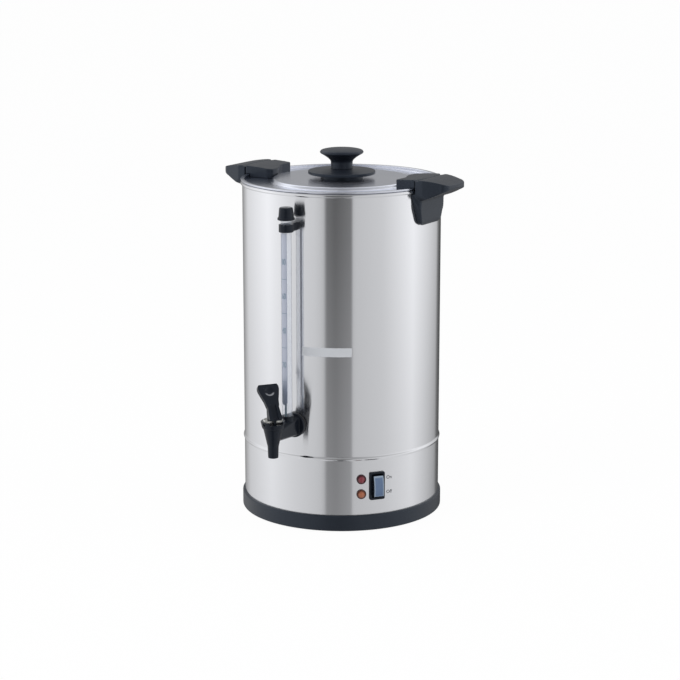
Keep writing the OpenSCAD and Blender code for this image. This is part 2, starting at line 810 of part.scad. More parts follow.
// Front of the paddle, up from the waist: parts of its half width and its length
paddle_steps = [[0.58, 0], [0.67, 0.27], [0.85, 0.53], [0.97, 0.73], [1, 0.83], [0.96, 0.94], [0.86, 1]];
function paddle_front() = concat(
    [for (p = paddle_steps) [p[0] * paddle_hw, p[1] * paddle_l]],
    [for (i = [len(paddle_steps) - 1 : -1 : 0]) let (p = paddle_steps[i])
        [-p[0] * paddle_hw, p[1] * paddle_l]]);

// Places children, drawn on the paddle's front face with y up it and z out of it
module on_paddle() {
    translate([0, pivot_out - waist_out, waist_z]) rotate([90 - lever_lean, 0, 0]) children();
}

module tap_lever() {
    wide = 2 * paddle_hw;
    scoop_r = 11;
    scoop_d = 1.8;
    groove_hw = 0.4 * foot_hw;
    groove_d = 2.3;
    groove = [[-foot_out, lever_low], [groove_d - foot_out + pivot_out, lever_low + foot_rise + 2],
        paddle_point(0, groove_d), paddle_point(2.5, 0), [-foot_out, waist_z + 2]];
    color("darkslategray") at_lever() translate([0, -pivot_out, pivot_z]) difference() {
        union() {
            intersection() {
                translate([-wide, 0, 0]) rotate([90, 0, 90]) linear_extrude(2 * wide) polygon(foot_side());
                translate([0, wide, 0]) rotate([90, 0, 0]) linear_extrude(2 * wide) polygon(foot_front());
            }
            on_paddle() translate([0, 0, -lever_t]) linear_extrude(lever_t) polygon(paddle_front());
            translate([-tongue_hw, 0, 0]) rotate([0, 90, 0]) cylinder(r = hub_r, h = 2 * tongue_hw);
            translate([-tongue_hw, -hub_r, 0]) cube([2 * tongue_hw, 2 * hub_r, lever_low + foot_rise]);
            translate([-tongue_hw, 0, -hub_r]) cube([2 * tongue_hw, toe_end, 2 * hub_r]);
        }
        translate([-wide, 0, 0]) rotate([0, 90, 0]) cylinder(r = lever_pin_r + run_gap, h = 2 * wide);
        translate([-wide, pivot_out - 2, -toe_slot]) cube([2 * wide, toe_end, 2 * toe_slot]);
        on_paddle() translate([0, 0.67 * paddle_l, scoop_r - scoop_d]) sphere(r = scoop_r, $fn = 48);
        translate([-groove_hw, 0, 0]) rotate([90, 0, 90]) linear_extrude(2 * groove_hw) polygon(groove);
    }
}

module tap_stem() {
    cheek_t = cheek_out - cheek_in;
    color("gainsboro") at_lever() {
        translate([0, 0, plug_low + 2]) cylinder(r = stud_r, h = plug_top - plug_low - 2);
        translate([-cheek_out, -cheek_d / 2, plug_top]) cube([2 * cheek_out, cheek_d, stem_base_t]);
        for (x = [-cheek_out, cheek_in]) translate([x, 0, 0]) difference() {
            union() {
                translate([0, -cheek_d / 2, plug_top]) cube([cheek_t, cheek_d, pivot_z - plug_top]);
                translate([0, 0, pivot_z]) rotate([0, 90, 0]) cylinder(r = cheek_d / 2, h = cheek_t);
            }
            translate([-cut, 0, pivot_z]) rotate([0, 90, 0])
                cylinder(r = stem_pin_r, h = cheek_t + 2 * cut);
        }
    }
}

module stem_pin() {
    color("silver") at_lever() translate([-cheek_out, 0, pivot_z]) rotate([0, 90, 0])
        cylinder(r = stem_pin_r, h = 2 * cheek_out);
}

module tap_plug() {
    lip_r = plug_bore_r - rest_gap;
    waist_r = 4.6;
    profile = [[0, plug_low], [lip_r - 0.8, plug_low], [lip_r, plug_low + 0.8], [lip_r, plug_low + 1.8],
        [waist_r, plug_low + 3], [waist_r, plug_top - 2.4], [lip_r, plug_top - 1.6],
        [lip_r, plug_top], [0, plug_top]];
    color("white") translate([0, y_spout, z_tap]) difference() {
        rotate_extrude() polygon(profile);
        translate([0, 0, plug_low + 2]) cylinder(r = stud_r, h = 20);
    }
}

// Sight gauge

module gauge_tube() {
    z_low = z_tap + socket_floor;
    color("lightcyan") translate([0, y_gauge, z_low]) difference() {
        cylinder(r = gauge_r, h = z_tube_top - z_low);
        translate([0, 0, -cut]) cylinder(r = gauge_r - gauge_wall, h = z_tube_top - z_low + 2 * cut);
    }
}

module gauge_scale() {
    z_low = z_tap + socket_top + scale_low;
    color("slategray") translate([0, y_gauge, z_low]) rotate([0, 0, -90 - scale_half])
        rotate_extrude(angle = 2 * scale_half) translate([gauge_r, 0])
        square([scale_t, z_clip - clip_h / 2 - z_low]);
}

module gauge_seal() {
    color("dimgray") translate([0, y_gauge, z_tap + socket_top - seal_h]) difference() {
        cylinder(r = gauge_r + seal_t, h = seal_h);
        translate([0, 0, -cut]) cylinder(r = gauge_r, h = seal_h + 2 * cut);
    }
}

module gauge_clip() {
    arm_w = 11;
    color("darkslategray") difference() {
        union() {
            translate([0, y_gauge, z_clip - clip_h / 2]) cylinder(r = clip_r, h = clip_h);
            radial_block(arm_w, clip_h, tank_ir - 4, body_r + gauge_out, z_clip);
        }
        body_core(z_clip - 30, z_clip + 30);
        translate([0, y_gauge, z_clip - 20]) cylinder(r = gauge_r, h = 40);
        radial_rod(screw_r, tank_ir - 10, body_r + clip_screw_in, z_clip);
    }
}

clip_screw_in = 7;

module clip_screw() {
    seat = sqrt(tank_ir * tank_ir - screw_head_r * screw_head_r);
    color("gray") {
        radial_rod(screw_head_r, seat - screw_head_h, seat, z_clip);
        radial_rod(screw_r, seat, body_r + clip_screw_in, z_clip);
    }
}

module gauge_cap() {
    brim_r = gauge_r + 4.1;
    top_r = gauge_r + 2;
    profile = [[0, 0], [brim_r - 0.6, 0], [brim_r, 0.6], [brim_r, 2.6], [brim_r - 0.8, 3.2],
        [top_r + 0.9, 4], [top_r, cap_h - 1.2], [top_r - 1.2, cap_h], [0, cap_h]];
    color("darkslategray") translate([0, y_gauge, z_cap]) difference() {
        rotate_extrude() polygon(profile);
        translate([0, 0, -cut]) cylinder(r = gauge_r + run_gap, h = cap_h - cap_roof + rest_gap + cut);
        cylinder(r = 1, h = cap_h + cut);
    }
}

// Controls on the lower housing

switch_body_w = rocker_w + 2.4;
switch_body_h = bezel_h - 4.5;
switch_depth = 20;
bezel_face = body_r + 2.2;
rocker_deep = 5;
rocker_pivot = bezel_face - rocker_deep;
rocker_half = bezel_h / 2 - 4.5;
rocker_room = 1.6;
rocker_crown = 1.6;
rocker_face = rocker_deep + rocker_out;
rocker_face_r = (rocker_half * rocker_half + rocker_crown * rocker_crown) / (2 * rocker_crown);
rocker_pin_r = 1.2;
keel = 4;
shoulder = 2;
lens_t = 0.8;
lens_edge = 0.4;
lens_proud = 0.15;

module switch_body() {
    color("darkslategray") around(switch_az) difference() {
        union() {
            difference() {
                radial_plate(bezel_w, bezel_h, 2, tank_ir - 4, bezel_face, z_controls);
                body_core(z_controls - 40, z_controls + 40);
            }
            radial_block(switch_body_w, switch_body_h, bezel_face - switch_depth, bezel_face - 1,
                z_controls);
        }
        radial_block(rocker_w + 2 * rest_gap, 2 * (rocker_half + rocker_room), rocker_pivot - 9,
            bezel_face + 5, z_controls);
        translate([-bezel_w, -rocker_pivot, z_controls]) rotate([0, 90, 0])
            cylinder(r = rocker_pin_r + run_gap, h = 2 * bezel_w);
    }
}

// Places children, drawn about the rocker's pivot with -Y outwards, at its off position
module at_rocker() {
    around(switch_az) translate([0, -rocker_pivot, z_controls]) rotate([-rocker_tilt, 0, 0]) children();
}

// A bar across the rocker whose outer side is the crowned face, moved out by a skin
module face_bar(w, skin) {
    translate([0, rocker_face_r - rocker_face, 0]) rotate([0, 90, 0])
        cylinder(r = rocker_face_r + skin, h = w, center = true);
}

// A block of the rocker's width and height, less an edge all round, out to the crowned face
module crowned_block(edge, skin) {
    w = rocker_w - 2 * edge;
    half = rocker_half - edge;
    intersection() {
        translate([-w / 2, -rocker_face - cut, -half]) cube([w, rocker_face + cut - shoulder, 2 * half]);
        face_bar(w + 2 * cut, skin);
    }
}

// The lens from its seat in the rocker to a height above the face
module lens_slab(above) {
    difference() {
        crowned_block(lens_edge, above);
        face_bar(rocker_w + 2 * cut, -lens_t);
    }
}

module switch_rocker() {
    keel_outline = [[-keel, -keel], [shoulder, -rocker_half], [shoulder, rocker_half], [-keel, keel]];
    color("darkslategray") at_rocker() {
        difference() {
            union() {
                crowned_block(0, 0);
                translate([rocker_w / 2, 0, 0]) rotate([90, 0, -90]) linear_extrude(rocker_w)
                    polygon(keel_outline);
            }
            lens_slab(cut / 2);
        }
        translate([-switch_body_w / 2, 0, 0]) rotate([0, 90, 0])
            cylinder(r = rocker_pin_r, h = switch_body_w);
    }
}

module rocker_lens() {
    color("lightsteelblue") at_rocker() lens_slab(lens_proud);
}

lamp_stem_r = lamp_r - 1.3;
lamp_depth = 14;

// Places children at both lamps' heights
module lamp_pair() {
    for (side = [1, -1]) translate([0, 0, z_controls + side * lamp_pitch / 2]) children();
}

module lamp_shape() {
    dome_r = lamp_r * 0.72;
    face = wall_t + 4.8;
    edge = 0.6;
    difference() {
        translate([0, -tank_ir + 3, 0]) rotate([90, 0, 0]) rotate_extrude() polygon(concat(
            [[0, 0], [lamp_r, 0], [lamp_r, face - edge], [lamp_r - edge, face], [dome_r, face]],
            arc(0, face, dome_r, 12, 90), [[0, face]]));
        body_core(-30, 30);
    }
    radial_rod(lamp_stem_r, tank_ir - lamp_depth, body_r + 0.5, 0);
}

module brew_lamp() {
    color("firebrick") around(lamp_az) translate([0, 0, z_controls + lamp_pitch / 2]) lamp_shape();
}

module warm_lamp() {
    color("chocolate") around(lamp_az) translate([0, 0, z_controls - lamp_pitch / 2]) lamp_shape();
}

module lamp_nuts() {
    seat = sqrt(tank_ir * tank_ir - pow(lamp_r + 1.5, 2));
    color("darkslategray") around(lamp_az) lamp_pair() difference() {
        translate([0, -(seat - 3), 0]) rotate([90, 0, 0]) cylinder(r = lamp_r + 1.5, h = 3, $fn = 6);
        radial_rod(lamp_stem_r, tank_ir - 30, body_r, 0);
    }
}

inlet_w = 28;
inlet_h = 21;
inlet_cavity = [24, 17];
inlet_depth = 17;
inlet_face = body_r + 3.5;
inlet_screw_x = 20;
inlet_flange_w = 52;
inlet_flange_h = 26;
pin_length = 11;

module power_inlet() {
    color("darkslategray") around(180) difference() {
        union() {
            difference() {
                radial_plate(inlet_flange_w, inlet_flange_h, 5, tank_ir - 8, inlet_face, z_inlet);
                body_core(z_inlet - 40, z_inlet + 40);
            }
            radial_block(inlet_w, inlet_h, inlet_face - inlet_depth - 3, inlet_face - 1, z_inlet);
        }
        radial_plate(inlet_cavity[0], inlet_cavity[1], 3, inlet_face - inlet_depth, inlet_face + 5, z_inlet);
        inlet_pin_places()
            radial_block(2, 4, inlet_face - inlet_depth - 5, inlet_face - inlet_depth + 1, z_inlet);
        for (side = [-1, 1]) translate([side * inlet_screw_x, 0, 0]) {
            radial_rod(screw_r, tank_ir - 20, body_r + 10, z_inlet);
            radial_rod(screw_head_r + hole_gap, inlet_face - screw_head_h, inlet_face + 5, z_inlet);
        }
    }
}

module inlet_pin_places() {
    for (p = [[-7, -2], [0, 2], [7, -2]]) translate([p[0], 0, p[1]]) children();
}

module inlet_pins() {
    color("gold") around(180) inlet_pin_places()
        radial_block(2, 4, inlet_face - inlet_depth - 9, inlet_face - inlet_depth + pin_length, z_inlet);
}

module inlet_screws() {
    color("gray") around(180) for (side = [-1, 1]) translate([side * inlet_screw_x, 0, 0]) {
        radial_rod(screw_head_r, inlet_face - screw_head_h, inlet_face - 0.2, z_inlet);
        radial_rod(screw_r, tank_ir - 8, inlet_face - screw_head_h, z_inlet);
    }
}

// Lid

knob_screw_r = 2.5;

module lid_panel() {
    round_r = lid_edge_h / 2;
    inner = dip_r - lid_t;
    skirt_or = dip_r - 1;
    lean = 0.5;
    profile = concat(
        [[knob_screw_r, z_plateau], [plateau_r, z_plateau], [plateau_r + step_w, z_flange],
         [inner, z_flange], [inner, z_lid_edge - 0.8], [inner + 0.8, z_lid_edge]],
        arc(lid_edge_r - round_r, z_lid_edge - round_r, round_r, 90, -90, 8),
        [[dip_r, z_lid_low], [dip_r, z_flange - lid_t], [skirt_or, z_flange - lid_t],
         [skirt_or, z_flange - lid_t - lid_skirt], [skirt_or - lid_t, z_flange - lid_t - lid_skirt],
         [skirt_or - lid_t, z_flange - lid_t], [plateau_r + step_w - lean, z_flange - lid_t],
         [plateau_r - lean, z_plateau - lid_t], [knob_screw_r, z_plateau - lid_t]]);
    color("silver") difference() {
        rotate_extrude($fn = 128) polygon(profile);
        tab_screw_places() translate([0, 0, z_flange - 10]) cylinder(r = screw_r, h = 20);
    }
}

// Gap between a tab and the upstand of the lid's edge
tab_gap = 0.2;
tab_screw_r = 104;
tab_screw_y = 18;

module tab_screw_places() {
    for (side = [0, 180]) beside(side) for (s = [-1, 1])
        translate([tab_screw_r, s * tab_screw_y, 0]) children();
}

// Plan of a lid tab along +X: an S-shaped inner edge between its two sides
function tab_plan() = let (
        deep = plateau_r - 0.5,
        shallow = plateau_r + 10,
        round_r = 7,
        half_in = tab_hw - 1.5,
        steps = 10)
    concat(
        [[tab_seam_r + 20, -tab_hw], [shallow + 2, -half_in], [shallow, -half_in + 2]],
        [for (i = [0 : steps]) let (t = i / steps) [shallow + (deep - shallow) * ease(t), 32 * t - 12]],
        arc(deep + round_r, half_in - round_r, round_r, 180, 92),
        [[tab_seam_r + 20, tab_hw]]);

// Side view of a lid tab: a top that rises towards the seam
function tab_side() = let (
        start = plateau_r - 2,
        run = tab_seam_r - start)
    concat([[start - 10, z_flange], [start - 10, z_tab]],
        [for (i = [0 : 6]) [start + run * i / 6, z_tab + tab_crown * sin(15 * i)]],
        [[tab_seam_r + 10, z_crown], [tab_seam_r + 10, z_flange]]);

module lid_tab_shape() {
    bevel = 1.4;
    difference() {
        intersection() {
            translate([0, 0, z_flange]) linear_extrude(z_crown - z_flange + cut) polygon(tab_plan());
            translate([0, 2 * tab_hw, 0]) rotate([90, 0, 0]) linear_extrude(4 * tab_hw) polygon(tab_side());
            union() {
                translate([0, 0, z_flange])
                    cylinder(r = tab_seam_r, h = z_crown - z_flange - bevel, $fn = 128);
                translate([0, 0, z_crown - bevel])
                    cylinder(r1 = tab_seam_r, r2 = tab_seam_r - bevel, h = bevel, $fn = 128);
            }
        }
        translate([0, 0, z_flange - cut]) cylinder(r = plateau_r + step_w, h = lid_step + cut, $fn = 128);
        translate([0, 0, z_flange - cut]) difference() {
            cylinder(r = tab_seam_r + 40, h = z_lid_edge - z_flange + cut, $fn = 128);
            translate([0, 0, -cut]) cylinder(r = dip_r - lid_t - tab_gap, h = 40, $fn = 128);
        }
        for (s = [-1, 1]) translate([tab_screw_r, s * tab_screw_y, z_flange - cut])
            cylinder(r = screw_r, h = 6 + cut);
    }
}

module lid_tab_right() {
    color("darkslategray") beside(0) lid_tab_shape();
}

module lid_tab_left() {
    color("darkslategray") beside(180) lid_tab_shape();
}

module tab_screws() {
    z_head = z_flange - lid_t - screw_head_h;
    color("gray") tab_screw_places() translate([0, 0, z_head])
        screw_up(screw_r, screw_head_r, screw_head_h, lid_t + 5.5);
}

z_skirt = z_plateau + boss_h;
skirt_rise = 2.4;
z_neck = z_skirt + skirt_t + skirt_rise;
knob_screw_up = 24;

module knob_skirt() {
    boss_r1 = skirt_r - 15.7;
    edge = 0.8;
    profile = [[knob_screw_r, z_plateau], [boss_r1, z_plateau], [boss_r1, z_skirt],
        [skirt_r - edge, z_skirt], [skirt_r, z_skirt + edge], [skirt_r, z_skirt + skirt_t - edge],
        [skirt_r - edge, z_skirt + skirt_t], [neck_r + 3, z_neck - 0.3], [neck_r, z_neck],
        [knob_screw_r, z_neck]];
    color("darkslategray") rotate_extrude($fn = 96) polygon(profile);
}

// Outline of the grip: a neck that flares into a mushroom cap with a low dome
function grip_profile() = let (
        top = z_skirt + skirt_t + knob_h,
        z_wide = top - 5,
        flare = z_wide - 11.5)
    concat([[0, z_neck], [neck_r, z_neck], [neck_r, flare - 1]],
        [for (i = [0 : 6]) let (t = i / 6)
            [neck_r + 0.4 + (knob_r - 1.2 - neck_r) * pow(t, 0.82),
             flare + (z_wide - 1.6 - flare) * pow(t, 1.15)]],
        arc(knob_r - 1.6, z_wide, 1.6, -40, 55, 5),
        [for (i = [1 : 6])
            [(knob_r - 0.7) * cos(15 * i), z_wide + 1.3 + (top - z_wide - 1.3) * sin(15 * i)]]);

module knob_grip() {
    color("darkslategray") difference() {
        rotate_extrude($fn = 96) polygon(grip_profile());
        translate([0, 0, z_plateau]) cylinder(r = knob_screw_r, h = knob_screw_up);
    }
}

module knob_screw() {
    head_h = 3;
    color("gray") translate([0, 0, z_plateau - lid_t - head_h])
        screw_up(knob_screw_r, 5, head_h, lid_t + knob_screw_up - 1);
}

// Percolator

module coffee_basket() {
    inner = basket_r - basket_t;
    profile = concat(
        [[inner - basket_ledge, z_basket], [basket_r, z_basket], [basket_r, z_basket_rim - 2 * basket_rim_r]],
        arc(basket_r, z_basket_rim - basket_rim_r, basket_rim_r, -90, 90, 8),
        [[inner, z_basket_rim], [inner, z_basket + basket_t], [inner - basket_ledge, z_basket + basket_t]]);
    color("gainsboro") rotate_extrude($fn = 96) polygon(profile);
}

// A flat ring with rings of holes
module perforated(r_out, r_in, first, last, pitch, r) {
    difference() {
        circle(r = r_out, $fn = 96);
        circle(r = r_in);
        for (ring = [first : pitch : last]) let (count = floor(2 * PI * ring / pitch))
            for (i = [0 : count - 1]) rotate(360 * i / count) translate([ring, 0]) circle(r = r, $fn = 16);
    }
}

module basket_screen() {
    z_screen = z_basket + basket_t;
    color("gainsboro") {
        translate([0, 0, z_screen]) linear_extrude(basket_t)
            perforated(basket_r - basket_t, sleeve_r - sleeve_t, 20, basket_r - 14, 11, hole_r);
        translate([0, 0, z_basket]) difference() {
            cylinder(r = sleeve_r, h = basket_h + 6);
            translate([0, 0, -cut]) cylinder(r = sleeve_r - sleeve_t, h = basket_h + 6 + 2 * cut);
        }
    }
}

module basket_cover() {
    z_cover = z_basket_rim + rest_gap;
    lip_r = basket_r - basket_t - 0.6;
    color("gainsboro") {
        translate([0, 0, z_cover]) linear_extrude(basket_t)
            perforated(basket_r + basket_rim_r, sleeve_r + sleeve_gap, 22, basket_r - 20, 14, hole_r);
        translate([0, 0, z_cover - 5]) difference() {
            cylinder(r = lip_r, h = 5, $fn = 96);
            translate([0, 0, -cut]) cylinder(r = lip_r - basket_t, h = 5 + 2 * cut, $fn = 96);
        }
    }
}

module pump_tube() {
    z_low = z_foot + 6;
    color("gainsboro") difference() {
        union() {
            translate([0, 0, z_low]) cylinder(r = pump_r, h = z_pump_top - z_low);
            translate([0, 0, z_collar - collar_t]) cylinder(r = collar_r, h = collar_t);
        }
        translate([0, 0, z_low - cut]) cylinder(r = pump_r - pump_wall, h = z_pump_top - z_low + 2 * cut);
    }
}

module pump_foot() {
    t = 1.2;
    neck = pump_r + 1.5;
    seat = z_foot + 6;
    bore = pump_r - pump_wall;
    profile = [[foot_bell_r - t, z_foot], [foot_bell_r, z_foot], [foot_bell_r, z_foot + 2],
        [neck, z_foot + 11], [neck, z_foot + foot_bell_h], [pump_r, z_foot + foot_bell_h],
        [pump_r, seat], [bore, seat], [bore, seat - 0.2], [foot_bell_r - t, z_foot + 1.4]];
    color("gainsboro") difference() {
        rotate_extrude() polygon(profile);
        ring_of(6) translate([0, -2, z_foot - cut]) cube([foot_bell_r + 5, 4, 1.2 + cut]);
    }
}

rubber_feet();
base_ring();
base_plate();
base_screws();
pillars();
pillar_screws();
lower_housing();
tank_wall();
tank_floor();
brew_element();
warm_element();
thermostats();
terminal_block();
handle_left();
handle_right();
handle_screws();
tap_body();
tap_gasket();
tap_washer();
tap_nut();
tap_bonnet();
bonnet_disc();
lever_pin();
tap_lever();
tap_stem();
stem_pin();
tap_plug();
gauge_tube();
gauge_scale();
gauge_seal();
gauge_clip();
clip_screw();
gauge_cap();
switch_body();
switch_rocker();
rocker_lens();
brew_lamp();
warm_lamp();
lamp_nuts();
power_inlet();
inlet_pins();
inlet_screws();
lid_panel();
lid_tab_left();
lid_tab_right();
tab_screws();
knob_grip();
knob_skirt();
knob_screw();
coffee_basket();
basket_screen();
basket_cover();
pump_tube();
pump_foot();
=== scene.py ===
import math

import bmesh
import bpy
from mathutils import Matrix, Vector


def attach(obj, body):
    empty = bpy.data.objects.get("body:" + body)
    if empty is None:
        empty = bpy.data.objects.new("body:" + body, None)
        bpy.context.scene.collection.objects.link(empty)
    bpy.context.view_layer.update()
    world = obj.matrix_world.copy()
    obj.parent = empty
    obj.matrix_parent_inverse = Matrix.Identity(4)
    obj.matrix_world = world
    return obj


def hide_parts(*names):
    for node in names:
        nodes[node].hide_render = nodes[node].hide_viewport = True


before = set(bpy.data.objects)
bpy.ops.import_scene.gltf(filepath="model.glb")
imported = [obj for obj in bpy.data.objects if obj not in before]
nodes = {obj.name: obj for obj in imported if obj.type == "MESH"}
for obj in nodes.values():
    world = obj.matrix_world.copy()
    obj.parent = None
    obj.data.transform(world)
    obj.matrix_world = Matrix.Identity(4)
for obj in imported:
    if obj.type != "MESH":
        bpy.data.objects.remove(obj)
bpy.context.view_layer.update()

# Coffee urn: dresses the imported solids. Metres, Z up, tap towards -Y, azimuths from the tap towards +X.

MM = 0.001
scene = bpy.context.scene

# Sizes of the urn
BODY_R = 125 * MM  # tank and lower housing, outside
TANK_IR = 124 * MM  # tank and lower housing, inside
Z_BASE = 2 * MM  # underside of the base, on its feet
Z_BAND = 22 * MM  # top of the base
Z_SEAM = 97 * MM  # lower housing to tank
Z_RIM = 423.5 * MM  # top of the tank's rolled rim
Z_FLANGE = 422 * MM  # lid's sunk ring
Z_PLATEAU = 426 * MM  # lid's raised middle
LID_SHEET = 1.0 * MM  # thickness of the lid
Z_CONTROLS = 58.5 * MM  # middle of the switch and the lamps
Z_INLET = 52 * MM  # middle of the mains inlet
BASE_R = 128 * MM
FOOT_RING = 111 * MM  # circle of the feet and the base screws
HANDLE_AZ = 86
LAMP_AZ = 38.7
SWITCH_AZ = 47.9
LAMP_PITCH = 19.1 * MM
Y_GAUGE = -144.3 * MM  # axis of the gauge tube
GAUGE_R = 6.4 * MM
Y_SPOUT = -179.8 * MM  # axis of the tap's spout and bonnet
LEVER_AZ = 50  # turn of the bonnet with its lever

# Steps round the largest turned pieces
ROUND = 320

# The photograph's camera
CAMERA_AZ = 27.5
CAMERA_DISTANCE = 2.496
CAMERA_HEIGHT = 0.788
CAMERA_PITCH = 12.894
CAMERA_YAW = 0.0498
CAMERA_LENS = 105.98
SENSOR_WIDTH = 36

# Where a finish changes its tone: the start and the end of each change
# The lip's ranges bound the painted highlight at the thumb rest's lower lip.
LIP_INNER = (3.2 * MM, 4.6 * MM)  # from the middle of the thumb rest
LIP_OUTER = (5.9 * MM, 6.6 * MM)
LIP_DROP = (1.0 * MM, 3.5 * MM)  # down from the same middle
TUBE_SKIN = (GAUGE_R - 1.0 * MM, GAUGE_R - 0.6 * MM)  # from the tube's axis
LAMP_EDGE = (2.2 * MM, 6.8 * MM)  # from the lamp inside its lens
# The rocker's ranges bound the painted highlight at its lens's edges.
ROCKER_SIDE = (4.2 * MM, 6.0 * MM)  # from the middle of the rocker's lens
ROCKER_END = (10.8 * MM, 12.6 * MM)
SCALE_FADE = (182 * MM, 206 * MM)  # heights on the gauge
FILM_SIDE = (2.7 * MM, 3.4 * MM)  # from the middle line of the gauge's film
# FILM_MIDDLE bounds the dark middle of the painted glow behind the film.
FILM_MIDDLE = (1.6 * MM, 2.6 * MM)
FILM_FRONT = (GAUGE_R + 0.1 * MM, GAUGE_R + 0.2 * MM)  # from the tube's axis

# Depths of the surface textures, and how far a lamp's facets shift its edge
GRAIN_DEPTH = 0.2 * MM
PRINT_DEPTH = 0.1 * MM
LAMP_RIPPLE = 0.6 * MM


# Shader building

class Link:
    """An output socket that can stand in a sum."""

    def __init__(self, finish, socket):
        self.finish = finish
        self.socket = socket

    def calc(self, operation, *others):
        """A Math node on this value and others."""
        return self.finish.node("ShaderNodeMath", {"operation": operation}, dict(enumerate((self, *others))))

    def __add__(self, other):
        return self.calc("ADD", other)

    __radd__ = __add__

    def __sub__(self, other):
        return self.calc("SUBTRACT", other)

    def __rsub__(self, other):
        return self.finish.node("ShaderNodeMath", {"operation": "SUBTRACT"}, {0: other, 1: self})

    def __mul__(self, other):
        return self.calc("MULTIPLY", other)

    __rmul__ = __mul__

    def __truediv__(self, other):
        return self.calc("DIVIDE", other)

    def __abs__(self):
        return self.calc("ABSOLUTE")

    def between(self, low, high):
        """0 below low, 1 above high and a smooth rise from one to the other."""
        return self.finish.node("ShaderNodeMapRange", {"interpolation_type": "SMOOTHSTEP"},
                                {"Value": self, "From Min": low, "From Max": high})


class Finish:
    """A node tree under construction, for a material or the world."""

    def __init__(self, tree):
        self.tree = tree
        tree.nodes.clear()

    def feed(self, socket, value):
        """Links a socket, or sets its value."""
        if isinstance(value, Link):
            self.tree.links.new(value.socket, socket)
        elif isinstance(value, (tuple, list)) and socket.type == "RGBA" and len(value) == 3:
            socket.default_value = (*value, 1)
        else:
            socket.default_value = value

    def node(self, kind, settings=None, inputs=None, out=0):
        """A node with its settings, then its sockets' values or links; gives one of its outputs."""
        made = self.tree.nodes.new(kind)
        for key, value in (settings or {}).items():
            if key == "stops":
                elements = made.color_ramp.elements
                while len(elements) < len(value):
                    elements.new(0.5)
                for element, (place, level) in zip(elements, value):
                    element.position = place
                    element.color = (level, level, level, 1)
            else:
                setattr(made, key, value)
        for key, value in (inputs or {}).items():
            self.feed(made.inputs[key], value)
        return Link(self, made.outputs[out]) if made.outputs else None

    def blend(self, amount, first, second):
        """The first colour where amount is 0 and the second where it is 1."""
        return self.node("ShaderNodeMix", {"data_type": "RGBA"}, {0: amount, 6: first, 7: second}, out=2)

    def noise(self, place, scale, detail=2.0, stretch=(1, 1, 1)):
        """Noise over a place, closer along the axes that are stretched."""
        mapped = self.node("ShaderNodeMapping", inputs={"Vector": place, "Scale": stretch})
        return self.node("ShaderNodeTexNoise", inputs={"Vector": mapped, "Scale": scale, "Detail": detail})

    def bump(self, height, strength, distance):
        """The normal of a surface with this height."""
        return self.node("ShaderNodeBump",
                         inputs={"Height": height, "Strength": strength, "Distance": distance})

    def place(self):
        """A place on the piece, in the urn's own axes."""
        return self.node("ShaderNodeTexCoord", out="Object")

    def axes(self, vector):
        """The three parts of a vector."""
        made = self.node("ShaderNodeSeparateXYZ", inputs={"Vector": vector})
        outputs = made.socket.node.outputs
        return [Link(self, outputs[name]) for name in ("X", "Y", "Z")]


def material(name):
    """A new material and its tree."""
    made = bpy.data.materials.new(name)
    made.use_nodes = True
    return made, Finish(made.node_tree)


def principled(finish, **inputs):
    """Ends a material in one Principled shader."""
    named = {key.replace("_", " ").title().replace("Ior", "IOR"): value for key, value in inputs.items()}
    shader = finish.node("ShaderNodeBsdfPrincipled", inputs=named)
    finish.node("ShaderNodeOutputMaterial", inputs={"Surface": shader})


def brushed_metal(name, light, dark, rough, grain):
    """Steel sheet with fine lines round the urn's axis, which draw its reflections out up and down."""
    made, f = material(name)
    place = f.place()
    line = f.noise(place, 1.0, 2.0, (3, 3, 2600))
    patch = f.noise(place, 9.0, 3.0, (1, 1, 0.5))
    speck = f.noise(place, 420.0, 1.0)
    mark = line * 0.4 + patch * 0.25 + speck * 0.35
    principled(f, base_color=f.blend(mark, dark, light), metallic=1.0,
               roughness=(line - 0.5) * 0.03 + (patch - 0.5) * 0.03 + rough,
               anisotropic=grain, anisotropic_rotation=0.25)
    return made


def spun_metal(name, light, dark, rough, pitch, grain):
    """Metal with turning marks in rings about the urn's axis."""
    made, f = material(name)
    place = f.place()
    x, y, z = f.axes(place)
    radius = (x * x + y * y).calc("SQRT")
    rings = f.node("ShaderNodeTexNoise", {"noise_dimensions": "1D"},
                   {"W": radius * pitch, "Scale": 1.0, "Detail": 3.0})
    patch = f.noise(place, 16.0, 3.0)
    principled(f, base_color=f.blend(rings * 0.6 + patch * 0.4, dark, light), metallic=1.0,
               roughness=(rings - 0.5) * 0.05 + (patch - 0.5) * 0.04 + rough,
               anisotropic=grain, anisotropic_rotation=0.25)
    return made


def plain_metal(name, light, dark, rough, scale=60.0):
    """Plated or cast metal with a cloudy tone."""
    made, f = material(name)
    place = f.place()
    cloud = f.noise(place, scale, 4.0)
    pit = f.noise(place, scale * 12, 2.0)
    principled(f, base_color=f.blend(cloud, dark, light), metallic=1.0,
               roughness=(cloud - 0.5) * 0.16 + rough, normal=f.bump(pit, 0.08, GRAIN_DEPTH))
    return made


def painted_lip_highlight(f, centre, turn):
    """The share of a painted highlight at the lower lip of a round thumb rest that faces its own Z."""
    place = f.node("ShaderNodeMapping", {"vector_type": "TEXTURE"},
                   {"Vector": f.place(), "Location": tuple(centre), "Rotation": turn})
    x, y, z = f.axes(place)
    reach = (x * x + y * y).calc("SQRT")
    ring = reach.between(*LIP_INNER) * (1 - reach.between(*LIP_OUTER))
    return ring * (y * -1).between(*LIP_DROP)


